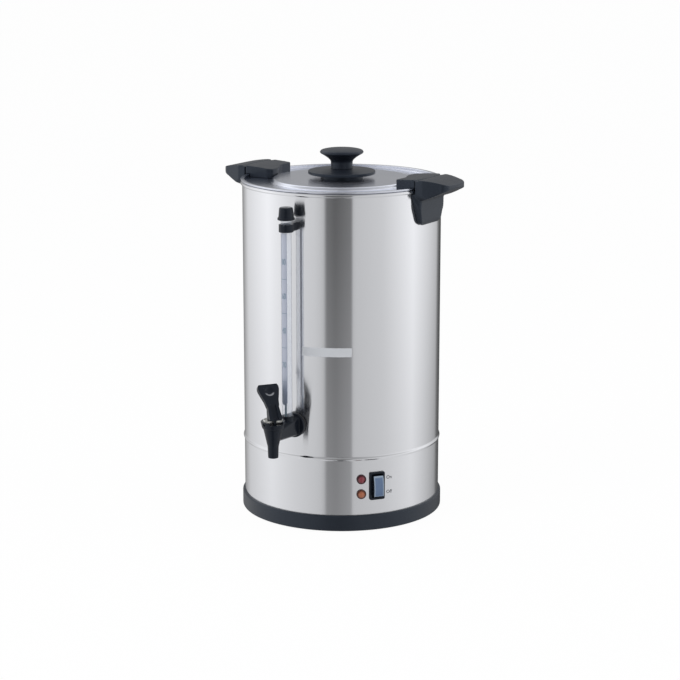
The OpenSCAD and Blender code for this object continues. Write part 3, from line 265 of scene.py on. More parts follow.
def moulded_plastic(name, colour, pale, rough, texture=1500.0, strength=0.10, tint=(1, 1, 1), shine=0.5,
                    rest=None):
    """Moulded plastic with a fine spark-eroded texture and faint flow marks, and a painted pale highlight at
    a thumb rest's lower lip.
    """
    made, f = material(name)
    place = f.place()
    grain = f.noise(place, texture, 2.0)
    flow = f.noise(place, 26.0, 3.0, (1, 1, 2.2))
    rub = f.noise(place, 90.0, 4.0)
    tone = f.blend(flow * 0.7 + rub * 0.3, colour, pale)
    if rest:
        # A pale grey painted highlight at the thumb rest's lower lip, where an overhead light would show in
        # the dish.
        tone = f.blend(painted_lip_highlight(f, *rest), tone, LIP_HIGHLIGHT_GREY)
    principled(f, base_color=tone, roughness=(grain - 0.5) * 0.10 + (rub - 0.5) * 0.10 + rough,
               specular_tint=(*tint, 1), specular_ior_level=shine,
               normal=f.bump(grain, strength, GRAIN_DEPTH))
    return made


def soft_rubber(name, colour, pale):
    """Matt rubber or silicone with a dusty bloom."""
    made, f = material(name)
    place = f.place()
    bloom = f.noise(place, 70.0, 4.0)
    grain = f.noise(place, 1100.0, 2.0)
    principled(f, base_color=f.blend(bloom, colour, pale), roughness=(grain - 0.5) * 0.12 + 0.72,
               normal=f.bump(grain, 0.15, GRAIN_DEPTH))
    return made


def clear_plastic(name):
    """The gauge tube: a pale cast over what is behind it, and a grey line where it is seen edge on."""
    made, f = material(name)
    place = f.place()
    x, y, z = f.axes(place)
    away = y - Y_GAUGE
    outer = (x * x + away * away).calc("SQRT").between(*TUBE_SKIN)
    haze = f.noise(place, 40.0, 2.0, (1, 1, 0.15))
    facing = f.node("ShaderNodeLayerWeight", inputs={"Blend": 0.5}, out="Facing")
    rim = facing.between(0.42, 0.80)
    principled(f, base_color=f.blend(rim, (0.66, 0.72, 0.83), (0.17, 0.18, 0.20)),
               roughness=haze * 0.03 + 0.06, alpha=(haze * 0.05 + rim * 0.22 + 0.20) * outer)
    return made


def lamp_lens(name, centre, heart, rim):
    """A tinted lens: pale over the lamp inside it, dark at its edge."""
    made, f = material(name)
    around = f.node("ShaderNodeMapping", {"vector_type": "POINT"},
                    {"Vector": f.place(), "Location": tuple(-v for v in centre)})
    x, y, z = f.axes(around)
    reach = (x * x + y * y + z * z).calc("SQRT")
    facet = f.noise(around, 900.0, 1.0)
    edge = (reach + (facet - 0.5) * LAMP_RIPPLE).between(*LAMP_EDGE)
    principled(f, base_color=f.blend(edge, heart, rim), roughness=facet * 0.08 + 0.10,
               coat_weight=facet * 0.1 + 0.2)
    return made


def printed(name, tone, low=None, cover=1.0):
    """A printed film; a low tone, where it has one, takes over down the gauge's scale."""
    made, f = material(name)
    place = f.place()
    fleck = f.noise(place, 700.0, 2.0)
    if low:
        x, y, z = f.axes(place)
        tone = f.blend(z.between(*SCALE_FADE), low, tone)
    principled(f, base_color=f.blend(fleck * 0.18, tone, (0.8, 0.82, 0.85)), roughness=fleck * 0.12 + 0.45,
               alpha=cover, normal=f.bump(fleck, 0.03, PRINT_DEPTH))
    return made


def scale_film_finish(name, top, low, side, back, middle):
    """The gauge's film: darker along its sides in front; behind, a painted glow, pale beside a dark middle,
    stands in for light through the film.
    """
    made, f = material(name)
    place = f.place()
    x, y, z = f.axes(place)
    away = y - Y_GAUGE
    radius = (x * x + away * away).calc("SQRT")
    fleck = f.noise(place, 700.0, 2.0)
    smear = f.noise(place, 160.0, 3.0, (1, 1, 0.4))
    tint = f.blend(z.between(*SCALE_FADE), low, top)
    tint = f.blend(abs(x).between(*FILM_SIDE) * 0.75, tint, side)
    tint = f.blend(smear * 0.22 + fleck * 0.08, tint, side)
    # Behind the film its colour also glows: a painted glow, pale beside a dark middle.
    rear_painted_glow = f.blend(abs(x).between(*FILM_MIDDLE), middle, back)
    front = radius.between(*FILM_FRONT)
    principled(f, base_color=f.blend(front, rear_painted_glow, tint), roughness=fleck * 0.12 + 0.45,
               emission_color=f.blend(front, rear_painted_glow, (0, 0, 0)), emission_strength=0.7,
               normal=f.bump(fleck, 0.03, PRINT_DEPTH))
    return made


def switch_lens(name, centre, heart, rim):
    """The rocker's tinted lens: pale at its edges as a painted highlight, and cloudy in the middle."""
    made, f = material(name)
    place = f.node("ShaderNodeMapping", {"vector_type": "TEXTURE"},
                   {"Vector": f.place(), "Location": tuple(centre),
                    "Rotation": (0, 0, math.radians(SWITCH_AZ))})
    x, y, z = f.axes(place)
    side = abs(x).between(*ROCKER_SIDE)
    end = abs(z).between(*ROCKER_END)
    cloud = f.noise(place, 260.0, 2.0)
    # The pale edges are a painted highlight along the lens's sides and ends.
    edge = side.calc("MAXIMUM", end)
    principled(f, base_color=f.blend(edge * 0.8 + cloud * 0.2, heart, rim),
               roughness=cloud * 0.1 + 0.14, coat_weight=cloud * 0.1 + 0.2)
    return made


tank_steel = brushed_metal("brushed_tank_steel", (0.805, 0.813, 0.843), (0.755, 0.763, 0.793), 0.135, 1.0)
lid_steel = spun_metal("spun_lid_steel", (0.755, 0.78, 0.865), (0.685, 0.71, 0.785), 0.24, 900.0, 0.6)
sheet_steel = plain_metal("plain_sheet_steel", (0.66, 0.66, 0.67), (0.52, 0.52, 0.54), 0.34)
screw_steel = plain_metal("plated_screw_steel", (0.72, 0.72, 0.72), (0.5, 0.5, 0.5), 0.26, 200.0)
dark_steel = plain_metal("dark_pin_steel", (0.10, 0.10, 0.11), (0.05, 0.05, 0.06), 0.4, 200.0)
spun_aluminium = spun_metal("spun_basket_aluminium", (0.86, 0.86, 0.86), (0.74, 0.74, 0.74), 0.32, 700.0, 0.4)
element_metal = plain_metal("element_sheath_metal", (0.58, 0.56, 0.54), (0.36, 0.33, 0.30), 0.42)
contact_brass = plain_metal("contact_brass", (0.80, 0.62, 0.30), (0.62, 0.45, 0.2), 0.3, 150.0)
black_plastic = moulded_plastic("satin_black_plastic", (0.010, 0.013, 0.019), (0.016, 0.019, 0.027), 0.36,
                                tint=(0.72, 0.84, 1.0))
TAP_LOOK = dict(colour=(0.006, 0.008, 0.012), pale=(0.010, 0.012, 0.018), rough=0.22, texture=1200.0,
                strength=0.05, tint=(0.80, 0.89, 1.0), shine=0.25)
THUMB_REST = ((-9.0 * MM, -172.25 * MM, 186.9 * MM), (math.radians(48), 0, math.radians(LEVER_AZ)))
# The pale grey of the painted highlight at the lever's thumb rest.
LIP_HIGHLIGHT_GREY = (0.22, 0.225, 0.24)
tap_plastic = moulded_plastic("tap_black_plastic", **TAP_LOOK)
# The lever's plastic carries the painted highlight at its thumb rest.
lever_plastic = moulded_plastic("lever_black_plastic", rest=THUMB_REST, **TAP_LOOK)
ivory_plastic = moulded_plastic("terminal_ivory_plastic", (0.62, 0.59, 0.50), (0.72, 0.69, 0.60), 0.45)
white_plastic = moulded_plastic("stem_white_plastic", (0.74, 0.74, 0.71), (0.82, 0.82, 0.79), 0.4)
mica_pad = moulded_plastic("mica_pad", (0.42, 0.34, 0.22), (0.55, 0.46, 0.32), 0.6, 400.0, 0.3)
grey_rubber = soft_rubber("grey_rubber", (0.028, 0.029, 0.031), (0.05, 0.05, 0.053))
white_silicone = soft_rubber("white_silicone", (0.70, 0.70, 0.67), (0.80, 0.80, 0.77))
clear_tube = clear_plastic("clear_gauge_plastic")


# Piece building

MERGE = 0.001 * MM


def meshed(name, bm):
    """The mesh of a finished drawing, which is freed."""
    mesh = bpy.data.meshes.new(name)
    bm.to_mesh(mesh)
    bm.free()
    return mesh


def shade(mesh, angle=35):
    """Smooth shading with hard edges where the surface turns sharply."""
    for face in mesh.polygons:
        face.use_smooth = True
    mesh.set_sharp_from_angle(angle=math.radians(angle))
    return mesh


def guarded(outline, least=2.5 * MM, margin=0.25 * MM):
    """An outline with a point near both ends of each long straight, so that the straight shades flat."""
    out = []
    for here, after in zip(outline, outline[1:] + outline[:1]):
        out.append(here)
        length = math.dist(here, after)
        if length > least:
            for part in (margin / length, 1 - margin / length):
                out.append(tuple(a + (b - a) * part for a, b in zip(here, after)))
    return out


def lathe(name, outline, steps=240):
    """A closed shell spun about Z from a closed outline of (radius, height) points."""
    bm = bmesh.new()
    rings = []
    for radius, height in guarded(outline):
        count = steps if radius > MERGE else 1
        turns = [2 * math.pi * i / steps for i in range(count)]
        rings.append([bm.verts.new((radius * math.cos(a), radius * math.sin(a), height)) for a in turns])
    for low, high in zip(rings, rings[1:] + rings[:1]):
        if len(low) == 1 and len(high) == 1:
            continue
        for i in range(steps):
            j = (i + 1) % steps
            corners = []
            for vert in (low[i % len(low)], low[j % len(low)], high[j % len(high)], high[i % len(high)]):
                if vert not in corners:
                    corners.append(vert)
            bm.faces.new(corners)
    bmesh.ops.recalc_face_normals(bm, faces=bm.faces)
    return shade(meshed(name, bm))


def arc(cx, cy, radius, start, end, steps=8):
    """Points of an arc, angles in degrees."""
    turns = [math.radians(start + (end - start) * i / steps) for i in range(steps + 1)]
    return [(cx + radius * math.cos(a), cy + radius * math.sin(a)) for a in turns]


def eased(points, radius, steps=5):
    """An open path with its inner corners rounded to about radius."""
    out = [points[0]]
    for before, here, after in zip(points, points[1:], points[2:]):
        corner = Vector(here)
        back = Vector(before) - corner
        on = Vector(after) - corner
        cut = min(radius, back.length * 0.45, on.length * 0.45)
        a = corner + back.normalized() * cut
        b = corner + on.normalized() * cut
        for k in range(steps + 1):
            t = k / steps
            out.append(tuple(a * (1 - t) ** 2 + corner * 2 * t * (1 - t) + b * t * t))
    return out + [points[-1]]


def evaluated(obj):
    """The object's mesh with its modifiers applied; the object is removed."""
    bpy.context.view_layer.update()
    mesh = bpy.data.meshes.new_from_object(obj.evaluated_get(bpy.context.evaluated_depsgraph_get()))
    bpy.data.objects.remove(obj)
    return mesh


def add_object(name, data):
    """A new object in the scene."""
    obj = bpy.data.objects.new(name, data)
    scene.collection.objects.link(obj)
    return obj


def merged_copy(node):
    """A solid's mesh as a new object, its loose triangles joined."""
    bm = bmesh.new()
    bm.from_mesh(nodes[node].data)
    bmesh.ops.remove_doubles(bm, verts=bm.verts, dist=MERGE)
    return add_object(node + "_form", meshed(node + "_form", bm))


def moulded(node, voxel, rounds):
    """A solid with its edges eased all round, as a moulding has them."""
    form = merged_copy(node)
    remesh = form.modifiers.new("remesh", "REMESH")
    remesh.mode = "VOXEL"
    remesh.voxel_size = voxel
    smooth = form.modifiers.new("ease", "SMOOTH")
    smooth.factor = 0.5
    smooth.iterations = rounds
    return shade(evaluated(form), 60)


def smoothed(node):
    """A solid's own mesh, shaded smooth between its edges."""
    return shade(evaluated(merged_copy(node)))


def piece(name, mesh, finish, body, replaced=(), slot=None):
    """A finished piece on a body, standing for the solids that it replaces."""
    mesh.materials.clear()
    mesh.materials.append(finish)
    obj = add_object(name, mesh)
    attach(obj, body)
    if replaced:
        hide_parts(*replaced)


def moulding(name, node, voxel, rounds, finish, body="urn", slot="black_plastic"):
    """A moulded piece that stands for one solid."""
    piece(name, moulded(node, voxel, rounds), finish, body, [node], slot)


def at_azimuth(azimuth, radius, height):
    """Points a piece drawn along +Z outwards at an azimuth, with its foot at a radius and height."""
    turn = math.radians(azimuth)
    return (Matrix.Rotation(turn, 4, "Z") @ Matrix.Translation((0, -radius, height))
            @ Matrix.Rotation(math.radians(90), 4, "X"))


def cut_out(mesh, cutters):
    """Takes the cutters' boxes and rods out of a mesh."""
    body = add_object("cut_body", mesh)
    tools = []
    for cutter in cutters:
        tool = add_object("cut_tool", cutter)
        tools.append(tool)
        cut = body.modifiers.new("cut", "BOOLEAN")
        cut.operation = "DIFFERENCE"
        cut.solver = "EXACT"
        cut.object = tool
    made = evaluated(body)
    for tool in tools:
        bpy.data.objects.remove(tool)
    return made


def box_mesh(size, matrix):
    """A box of a size along X, Y and Z, centred, then placed."""
    bm = bmesh.new()
    bmesh.ops.create_cube(bm, size=1.0)
    bmesh.ops.transform(bm, matrix=matrix @ Matrix.Diagonal((*size, 1)), verts=bm.verts)
    return meshed("box", bm)


def rod_mesh(radius, length, matrix):
    """A rod along Z, centred, then placed."""
    bm = bmesh.new()
    bmesh.ops.create_cone(bm, cap_ends=True, segments=48, radius1=radius, radius2=radius, depth=length)
    bmesh.ops.transform(bm, matrix=matrix, verts=bm.verts)
    return meshed("rod", bm)


def repeater():
    """The node tree that sets copies of a piece on points, each turned by the point's own angles."""
    tree = bpy.data.node_groups.new("copies_on_points", "GeometryNodeTree")
    face = tree.interface
    face.new_socket("Geometry", in_out="INPUT", socket_type="NodeSocketGeometry")
    face.new_socket("Piece", in_out="INPUT", socket_type="NodeSocketObject")
    face.new_socket("Size", in_out="INPUT", socket_type="NodeSocketFloat")
    face.new_socket("Finish", in_out="INPUT", socket_type="NodeSocketMaterial")
    face.new_socket("Geometry", in_out="OUTPUT", socket_type="NodeSocketGeometry")
    made = {}
    for key, kind in (("start", "NodeGroupInput"), ("points", "GeometryNodeMeshToPoints"),
                      ("turn", "GeometryNodeInputNamedAttribute"), ("euler", "FunctionNodeEulerToRotation"),
                      ("object", "GeometryNodeObjectInfo"), ("copies", "GeometryNodeInstanceOnPoints"),
                      ("real", "GeometryNodeRealizeInstances"), ("finish", "GeometryNodeSetMaterial"),
                      ("end", "NodeGroupOutput")):
        made[key] = tree.nodes.new(kind)
    made["turn"].data_type = "FLOAT_VECTOR"
    made["turn"].inputs["Name"].default_value = "turn"
    made["object"].transform_space = "ORIGINAL"
    for a, out, b, into in (
            ("start", "Geometry", "points", "Mesh"), ("points", "Points", "copies", "Points"),
            ("turn", "Attribute", "euler", "Euler"), ("euler", "Rotation", "copies", "Rotation"),
            ("start", "Piece", "object", "Object"), ("object", "Geometry", "copies", "Instance"),
            ("start", "Size", "copies", "Scale"), ("copies", "Instances", "real", "Geometry"),
            ("real", "Geometry", "finish", "Geometry"), ("start", "Finish", "finish", "Material"),
            ("finish", "Geometry", "end", "Geometry")):
        tree.links.new(made[a].outputs[out], made[b].inputs[into])
    return tree


copies_tree = repeater()


def copies(name, source_mesh, places, turns, finish):
    """One plain mesh of a piece repeated at places, each turned by its Euler angles."""
    carrier = bpy.data.meshes.new(name + "_points")
    carrier.from_pydata([tuple(p) for p in places], [], [])
    turn = carrier.attributes.new("turn", "FLOAT_VECTOR", "POINT")
    for item, angles in zip(turn.data, turns):
        item.vector = angles
    source = add_object(name + "_source", source_mesh)
    holder = add_object(name + "_holder", carrier)
    modifier = holder.modifiers.new("copies", "NODES")
    modifier.node_group = copies_tree
    values = {"Piece": source, "Size": 1.0, "Finish": finish}
    for item in copies_tree.interface.items_tree:
        if item.in_out == "INPUT" and item.name in values:
            modifier[item.identifier] = values[item.name]
    mesh = evaluated(holder)
    bpy.data.objects.remove(source)
    return shade(mesh)


def outward_turn(azimuth, inward=False):
    """Euler angles that point a +Z piece outwards, or inwards, at an azimuth."""
    lean = Matrix.Rotation(math.radians(-90 if inward else 90), 4, "X")
    return (Matrix.Rotation(math.radians(azimuth), 4, "Z") @ lean).to_euler()


def around_axis(azimuth, radius, height, shift=0.0):
    """A point at an azimuth from the tap, shifted along the tangent."""
    a = math.radians(azimuth)
    return Vector((radius * math.sin(a) + shift * math.cos(a),
                   -radius * math.cos(a) + shift * math.sin(a), height))


def pan_screw(head_r, head_h, shank_r, length):
    """A pan-head screw with a cross recess, its head's top at +Z and its shank below."""
    outline = [(0, -length), (shank_r * 0.4, -length)]
    threads = max(3, int(length / (shank_r * 0.55)))
    for i in range(threads):
        z = -length + shank_r * 0.5 + (length - shank_r * 0.5) * i / threads
        outline += [(shank_r * 0.86, z), (shank_r, z + (length / threads) * 0.45)]
    outline += [(shank_r, 0), (head_r, 0), (head_r, head_h * 0.35)]
    outline += arc(head_r - head_h * 0.65, head_h * 0.35, head_h * 0.65, 0, 78, 6)
    outline += [(0, head_h)]
    mesh = lathe("screw", outline, 24)
    slots = [box_mesh((head_r * 1.1, head_r * 0.26, head_h * 1.2),
                      Matrix.Rotation(math.radians(90 * k), 4, "Z") @ Matrix.Translation((0, 0, head_h)))
             for k in (0, 1)]
    return cut_out(mesh, slots)


# Tank, housing and base

rim_roll = 1.6 * MM
z_roll_low = Z_RIM - 4.5 * MM
z_wall_top = Z_RIM - 8 * MM
z_middle = Z_SEAM + 150 * MM
tank_outline = ([(TANK_IR, Z_SEAM), (BODY_R, Z_SEAM), (BODY_R, z_middle), (BODY_R, z_wall_top)]
                + arc(TANK_IR + rim_roll, z_roll_low + rim_roll, rim_roll, -112, 0, 8)
                + arc(TANK_IR + rim_roll, Z_RIM - rim_roll, rim_roll, 0, 180, 14)
                + [(TANK_IR, z_middle)])
piece("tank_shell", lathe("tank_shell", tank_outline, ROUND), tank_steel, "urn", ["tank_wall"], "tank_steel")

z_lap = Z_BAND - 6 * MM
bead_out = 1.35 * MM
bead_half = 2.8 * MM
bead_steps = 10
bead = [(BODY_R + bead_out * (0.5 + 0.5 * math.cos(math.pi * i / bead_steps)),
         Z_SEAM + bead_half * (i / bead_steps - 1)) for i in range(-bead_steps, bead_steps + 1)]
housing_outline = [(TANK_IR, z_lap), (BODY_R, z_lap)] + bead + [(TANK_IR, Z_SEAM)]
cut_deep = 40 * MM
switch_hole = (15.7 * MM, 31 * MM, cut_deep)
inlet_hole = (28 * MM, 21 * MM, cut_deep)
lamp_hole_r = 4.8 * MM
housing_cuts = [box_mesh(switch_hole, at_azimuth(SWITCH_AZ, BODY_R, Z_CONTROLS)),
                box_mesh(inlet_hole, at_azimuth(180, BODY_R, Z_INLET))]
for side in (-1, 1):
    lamp_spot = at_azimuth(LAMP_AZ, BODY_R, Z_CONTROLS + side * LAMP_PITCH / 2)
    housing_cuts.append(rod_mesh(lamp_hole_r, cut_deep, lamp_spot))
housing = cut_out(lathe("housing_shell", housing_outline, ROUND), housing_cuts)
piece("housing_shell", shade(housing), tank_steel, "urn", ["lower_housing"], "tank_steel")

base_edge = 1.8 * MM
base_bore = 96 * MM
base_wall_in = 122 * MM
z_base_floor = 6 * MM
base_outline = ([(base_bore, Z_BASE)] + arc(BASE_R - base_edge, Z_BASE + base_edge, base_edge, -90, 0)
                + arc(BASE_R - base_edge, Z_BAND - base_edge, base_edge, 0, 90)
                + [(BODY_R, Z_BAND), (BODY_R, z_lap), (base_wall_in, z_lap), (base_wall_in, z_base_floor),
                   (base_bore, z_base_floor)])
# Radius and length of the rod that makes each hole
foot_hole = (9 * MM, 3 * MM)
screw_head_hole = (3.8 * MM, 4 * MM)
screw_hole = (1.75 * MM, 20 * MM)
base_cuts = []
for k in range(4):
    for hole, turn in ((foot_hole, 45), (screw_head_hole, 0), (screw_hole, 0)):
        hole_spot = Matrix.Translation(around_axis(turn + 90 * k, FOOT_RING, Z_BASE))
        base_cuts.append(rod_mesh(*hole, hole_spot))
base = cut_out(lathe("base_moulding", base_outline, ROUND), base_cuts)
piece("base_moulding", shade(base), black_plastic, "urn", ["base_ring"], "black_plastic")

# Solids that keep their own form
for finish, slot, body, names in (
        (grey_rubber, "grey_rubber", "urn", ("rubber_feet", "tap_gasket", "tap_washer", "gauge_seal")),
        (sheet_steel, "plate_steel", "urn", ("base_plate",)),
        (lid_steel, "tank_steel", "urn", ("tank_floor",)),
        (element_metal, "element_sheath", "urn", ("brew_element", "pillars")),
        (mica_pad, "element_pad", "urn", ("warm_element",)),
        (ivory_plastic, "terminal_plastic", "urn", ("thermostats", "terminal_block")),
        (screw_steel, "fastener_steel", "urn", ("tap_nut",)),
        (dark_steel, "fastener_steel", "tap_bonnet", ("lever_pin",)),
        (dark_steel, "fastener_steel", "tap_plunger", ("stem_pin",)),
        (black_plastic, "black_plastic", "urn", ("lamp_nuts",)),
        (white_plastic, "white_plastic", "tap_bonnet", ("bonnet_disc",)),
        (white_plastic, "white_plastic", "tap_plunger", ("tap_stem",)),
        (white_silicone, "white_silicone", "tap_plunger", ("tap_plug",)),
        (contact_brass, "pin_brass", "urn", ("inlet_pins",)),
        (spun_aluminium, "basket_aluminium", "basket", ("coffee_basket", "basket_screen")),
        (spun_aluminium, "basket_aluminium", "basket_cover", ("basket_cover",)),
        (spun_aluminium, "basket_aluminium", "pump", ("pump_tube", "pump_foot"))):
    for name in names:
        piece(name + "_finished", smoothed(name), finish, body, [name], slot)

# Screws: one drawn screw of each size, repeated at its places

DOWN = (math.pi, 0, 0)
SMALL = dict(head_r=3.4 * MM, head_h=2 * MM, shank_r=1.75 * MM)
FLAT = dict(SMALL, head_h=1.8 * MM)
FIRM = dict(head_r=4 * MM, head_h=2.4 * MM, shank_r=2 * MM)
z_base_screw = 4 * MM
z_plate = 6 * MM
z_handle_screw = 392.5 * MM
z_clip_screw = 383.5 * MM
pillar_ring = 85 * MM
tab_ring = 104 * MM
handle_seat = 122.53 * MM
clip_seat = 123.95 * MM
inlet_seat = 126.5 * MM
handle_half = 15 * MM
inlet_half = 20 * MM
tab_half = 18 * MM
screw_sets = (
    ("base_screws", "urn", pan_screw(**SMALL, length=5.5 * MM),
     [(around_axis(90 * k, FOOT_RING, z_base_screw), DOWN) for k in range(4)]),
    ("pillar_screws", "urn", pan_screw(**FIRM, length=8.5 * MM),
     [(around_axis(120 + 120 * k, pillar_ring, z_plate), DOWN) for k in range(3)]),
    ("handle_screws", "urn", pan_screw(**FIRM, length=5.9 * MM),
     [(around_axis(HANDLE_AZ + turn, handle_seat, z_handle_screw, shift),
       outward_turn(HANDLE_AZ + turn, True))
      for turn in (0, 180) for shift in (-handle_half, handle_half)]),
    ("clip_screw", "urn", pan_screw(**SMALL, length=8 * MM),
     [(around_axis(0, clip_seat, z_clip_screw), outward_turn(0, True))]),
    ("inlet_screws", "urn", pan_screw(**FLAT, length=10 * MM),
     [(around_axis(180, inlet_seat, Z_INLET, shift), outward_turn(180))
      for shift in (-inlet_half, inlet_half)]),
    ("tab_screws", "lid", pan_screw(**SMALL, length=6.5 * MM),
     [(around_axis(HANDLE_AZ + turn, tab_ring, Z_FLANGE - LID_SHEET, shift), DOWN)
      for turn in (0, 180) for shift in (-tab_half, tab_half)]),
    ("knob_screw", "lid", pan_screw(head_r=5 * MM, head_h=3 * MM, shank_r=2.5 * MM, length=23.8 * MM),
     [(around_axis(0, 0, Z_PLATEAU - LID_SHEET), DOWN)]))
for name, body, screw, spots in screw_sets:
    made = copies(name + "_set", screw, [p for p, t in spots], [t for p, t in spots], screw_steel)
    piece(name + "_finished", made, screw_steel, body, [name], "fastener_steel")

# Lid and knob

lid_r = 127 * MM
lid_roll = 1.2 * MM
lid_well_r = 121.8 * MM
plateau_r = 86.5 * MM
step_r = 89 * MM
knob_hole_r = 2.5 * MM
z_lid_top = 426.2 * MM
z_lid_low = z_lid_top - 2 * lid_roll
z_lid_skirt = 411 * MM
z_under_flange = Z_FLANGE - LID_SHEET
z_under_plateau = Z_PLATEAU - LID_SHEET
lid_outline = (eased([(knob_hole_r, Z_PLATEAU), (plateau_r, Z_PLATEAU), (step_r, Z_FLANGE),
                      (lid_well_r, Z_FLANGE), (lid_well_r, z_lid_top),
                      (lid_r - 2 * lid_roll, z_lid_top)], lid_roll)
               + arc(lid_r - lid_roll, z_lid_top - lid_roll, lid_roll, 90, -90, 12)
               + [(lid_well_r + LID_SHEET, z_lid_low), (lid_well_r + LID_SHEET, z_under_flange),
                  (lid_well_r, z_under_flange), (lid_well_r, z_lid_skirt),
                  (lid_well_r - LID_SHEET, z_lid_skirt), (lid_well_r - LID_SHEET, z_under_flange),
                  (step_r - 0.5 * MM, z_under_flange), (plateau_r - 0.5 * MM, z_under_plateau),
                  (knob_hole_r, z_under_plateau)])
piece("lid_dish", lathe("lid_dish", lid_outline, ROUND), lid_steel, "lid", ["lid_panel"], "lid_steel")

skirt_r = 42.2 * MM
skirt_edge = 1.0 * MM
pedestal_r = 26.5 * MM
neck_r = 13.7 * MM
z_skirt = 431.2 * MM
z_skirt_top = 435.3 * MM
z_neck = 437.7 * MM
skirt_outline = ([(knob_hole_r, Z_PLATEAU), (pedestal_r, Z_PLATEAU), (pedestal_r, z_skirt)]
                 + arc(skirt_r - skirt_edge, z_skirt + skirt_edge, skirt_edge, -90, 0, 5)
                 + arc(skirt_r - skirt_edge, z_skirt_top - skirt_edge, skirt_edge, 0, 84, 5)
                 + [(34 * MM, z_skirt_top + 0.75 * MM), (26 * MM, z_skirt_top + 1.4 * MM),
                    (19 * MM, z_skirt_top + 1.95 * MM), (neck_r, z_neck), (knob_hole_r, z_neck)])
piece("knob_steam_skirt", lathe("knob_steam_skirt", skirt_outline, 200), black_plastic, "lid", ["knob_skirt"],
      "black_plastic")

knob_r = 27.3 * MM
knob_edge = 1.6 * MM
crown_r = knob_r - 0.7 * MM
z_top = 463.5 * MM
z_wide = z_top - 5 * MM
z_crown = z_wide + 1.3 * MM
flare = z_wide - 11.5 * MM
flare_steps = 12
crown_steps = 16
grip_outline = [(0, z_neck), (neck_r - 0.4 * MM, z_neck), (neck_r, z_neck + 0.4 * MM),
                (neck_r, flare - 1.4 * MM)]
for i in range(flare_steps + 1):
    t = i / flare_steps
    grip_outline.append((neck_r + 0.2 * MM + (knob_r - 1.1 * MM - neck_r) * t ** 1.3,
                         flare + (z_wide - knob_edge - flare) * t ** 0.9))
grip_outline += arc(knob_r - knob_edge, z_wide, knob_edge, -40, 55, 8)
for i in range(1, crown_steps):
    a = math.pi / 2 * i / crown_steps
    grip_outline.append((crown_r * math.cos(a), z_crown + (z_top - z_crown) * math.sin(a)))
grip_outline.append((0, z_top))
piece("knob_mushroom", lathe("knob_mushroom", grip_outline, 200), black_plastic, "lid", ["knob_grip"],
      "black_plastic")

for side in ("left", "right"):
    moulding("lid_tab_moulding_" + side, "lid_tab_" + side, 0.7 * MM, 8, black_plastic, "lid")
    moulding("handle_moulding_" + side, "handle_" + side, 0.7 * MM, 14, black_plastic)

# Tap and gauge

moulding("tap_moulding", "tap_body", 0.5 * MM, 5, tap_plastic)
moulding("tap_bonnet_moulding", "tap_bonnet", 0.35 * MM, 4, tap_plastic, "tap_bonnet")
moulding("tap_lever_moulding", "tap_lever", 0.3 * MM, 8, lever_plastic, "tap_lever")

liner_r = 11.7 * MM
liner_foot_r = 9.45 * MM
liner_lip = 0.4 * MM
z_liner_foot = 147.95 * MM
z_liner_wide = 152.7 * MM
z_liner_lip = 154.8 * MM
liner_in = liner_r - 2 * liner_lip
liner_outline = [(liner_foot_r - 0.2 * MM, z_liner_foot), (liner_foot_r, z_liner_foot),
                 (liner_r, z_liner_wide), (liner_r, z_liner_lip - liner_lip),
                 (liner_r - liner_lip, z_liner_lip), (liner_in, z_liner_lip - liner_lip),
                 (liner_in, z_liner_wide - 0.7 * MM)]
# The collar stands behind the lever, so its front is cut away
liner_front = box_mesh((40 * MM, 20 * MM, 20 * MM), Matrix.Translation((0, -12.9 * MM, 150 * MM)))
liner = cut_out(lathe("cup_liner", liner_outline, 120), [liner_front])
liner.transform(Matrix.Translation((0, Y_SPOUT, 0)) @ Matrix.Rotation(math.radians(LEVER_AZ), 4, "Z"))
piece("tap_cup_liner", shade(liner), white_plastic, "tap_bonnet", slot="white_plastic")
moulding("gauge_clip_moulding", "gauge_clip", 0.45 * MM, 4, tap_plastic)
moulding("gauge_cap_moulding", "gauge_cap", 0.4 * MM, 4, tap_plastic, "gauge_cap")

tube_low = 140 * MM
tube_top = 403.75 * MM
tube_bore = GAUGE_R - 1.6 * MM
tube_outline = [(tube_bore, tube_low), (GAUGE_R, tube_low), (GAUGE_R, tube_top), (tube_bore, tube_top)]
tube_mesh = lathe("gauge_tube", tube_outline, 96)
tube_mesh.transform(Matrix.Translation((0, Y_GAUGE, 0)))
piece("gauge_tube_clear", tube_mesh, clear_tube, "urn", ["gauge_tube"], "clear_tube")

scale_top = 378 * MM
scale_low = 166 * MM
# The back and middle colours make the painted glow behind the film.
scale_film = scale_film_finish("gauge_scale_film", top=(0.46, 0.485, 0.56), low=(0.17, 0.20, 0.26),
                               side=(0.20, 0.235, 0.32), back=(0.75, 0.75, 0.76), middle=(0.12, 0.112, 0.11))
scale_ink = printed("gauge_scale_ink", (0.07, 0.16, 0.23), (0.03, 0.08, 0.12))
SCALE_HALF = 33  # degrees of the tube to each side
PRINT_LIFT = 0.05 * MM
NUMBER_LIFT = 0.26 * MM
NUMBER_NARROW = 0.5


def on_tube(x, z, lift):
    """A point of flat print, laid on the gauge tube's front."""
    a = x / GAUGE_R
    r = GAUGE_R + lift
    return Vector((r * math.sin(a), Y_GAUGE - r * math.cos(a), z))


def film_on_tube(name, rows, thickness):
    """A film laid on the tube through rows of points, its thickness outwards."""
    bm = bmesh.new()
    grid = [[bm.verts.new(point) for point in row] for row in rows]
    for low, high in zip(grid, grid[1:]):
        for k in range(len(low) - 1):
            bm.faces.new((low[k], low[k + 1], high[k + 1], high[k]))
    film = add_object(name, meshed(name, bm))
    thick = film.modifiers.new("thick", "SOLIDIFY")
    thick.thickness = thickness
    thick.offset = 1
    return shade(evaluated(film))


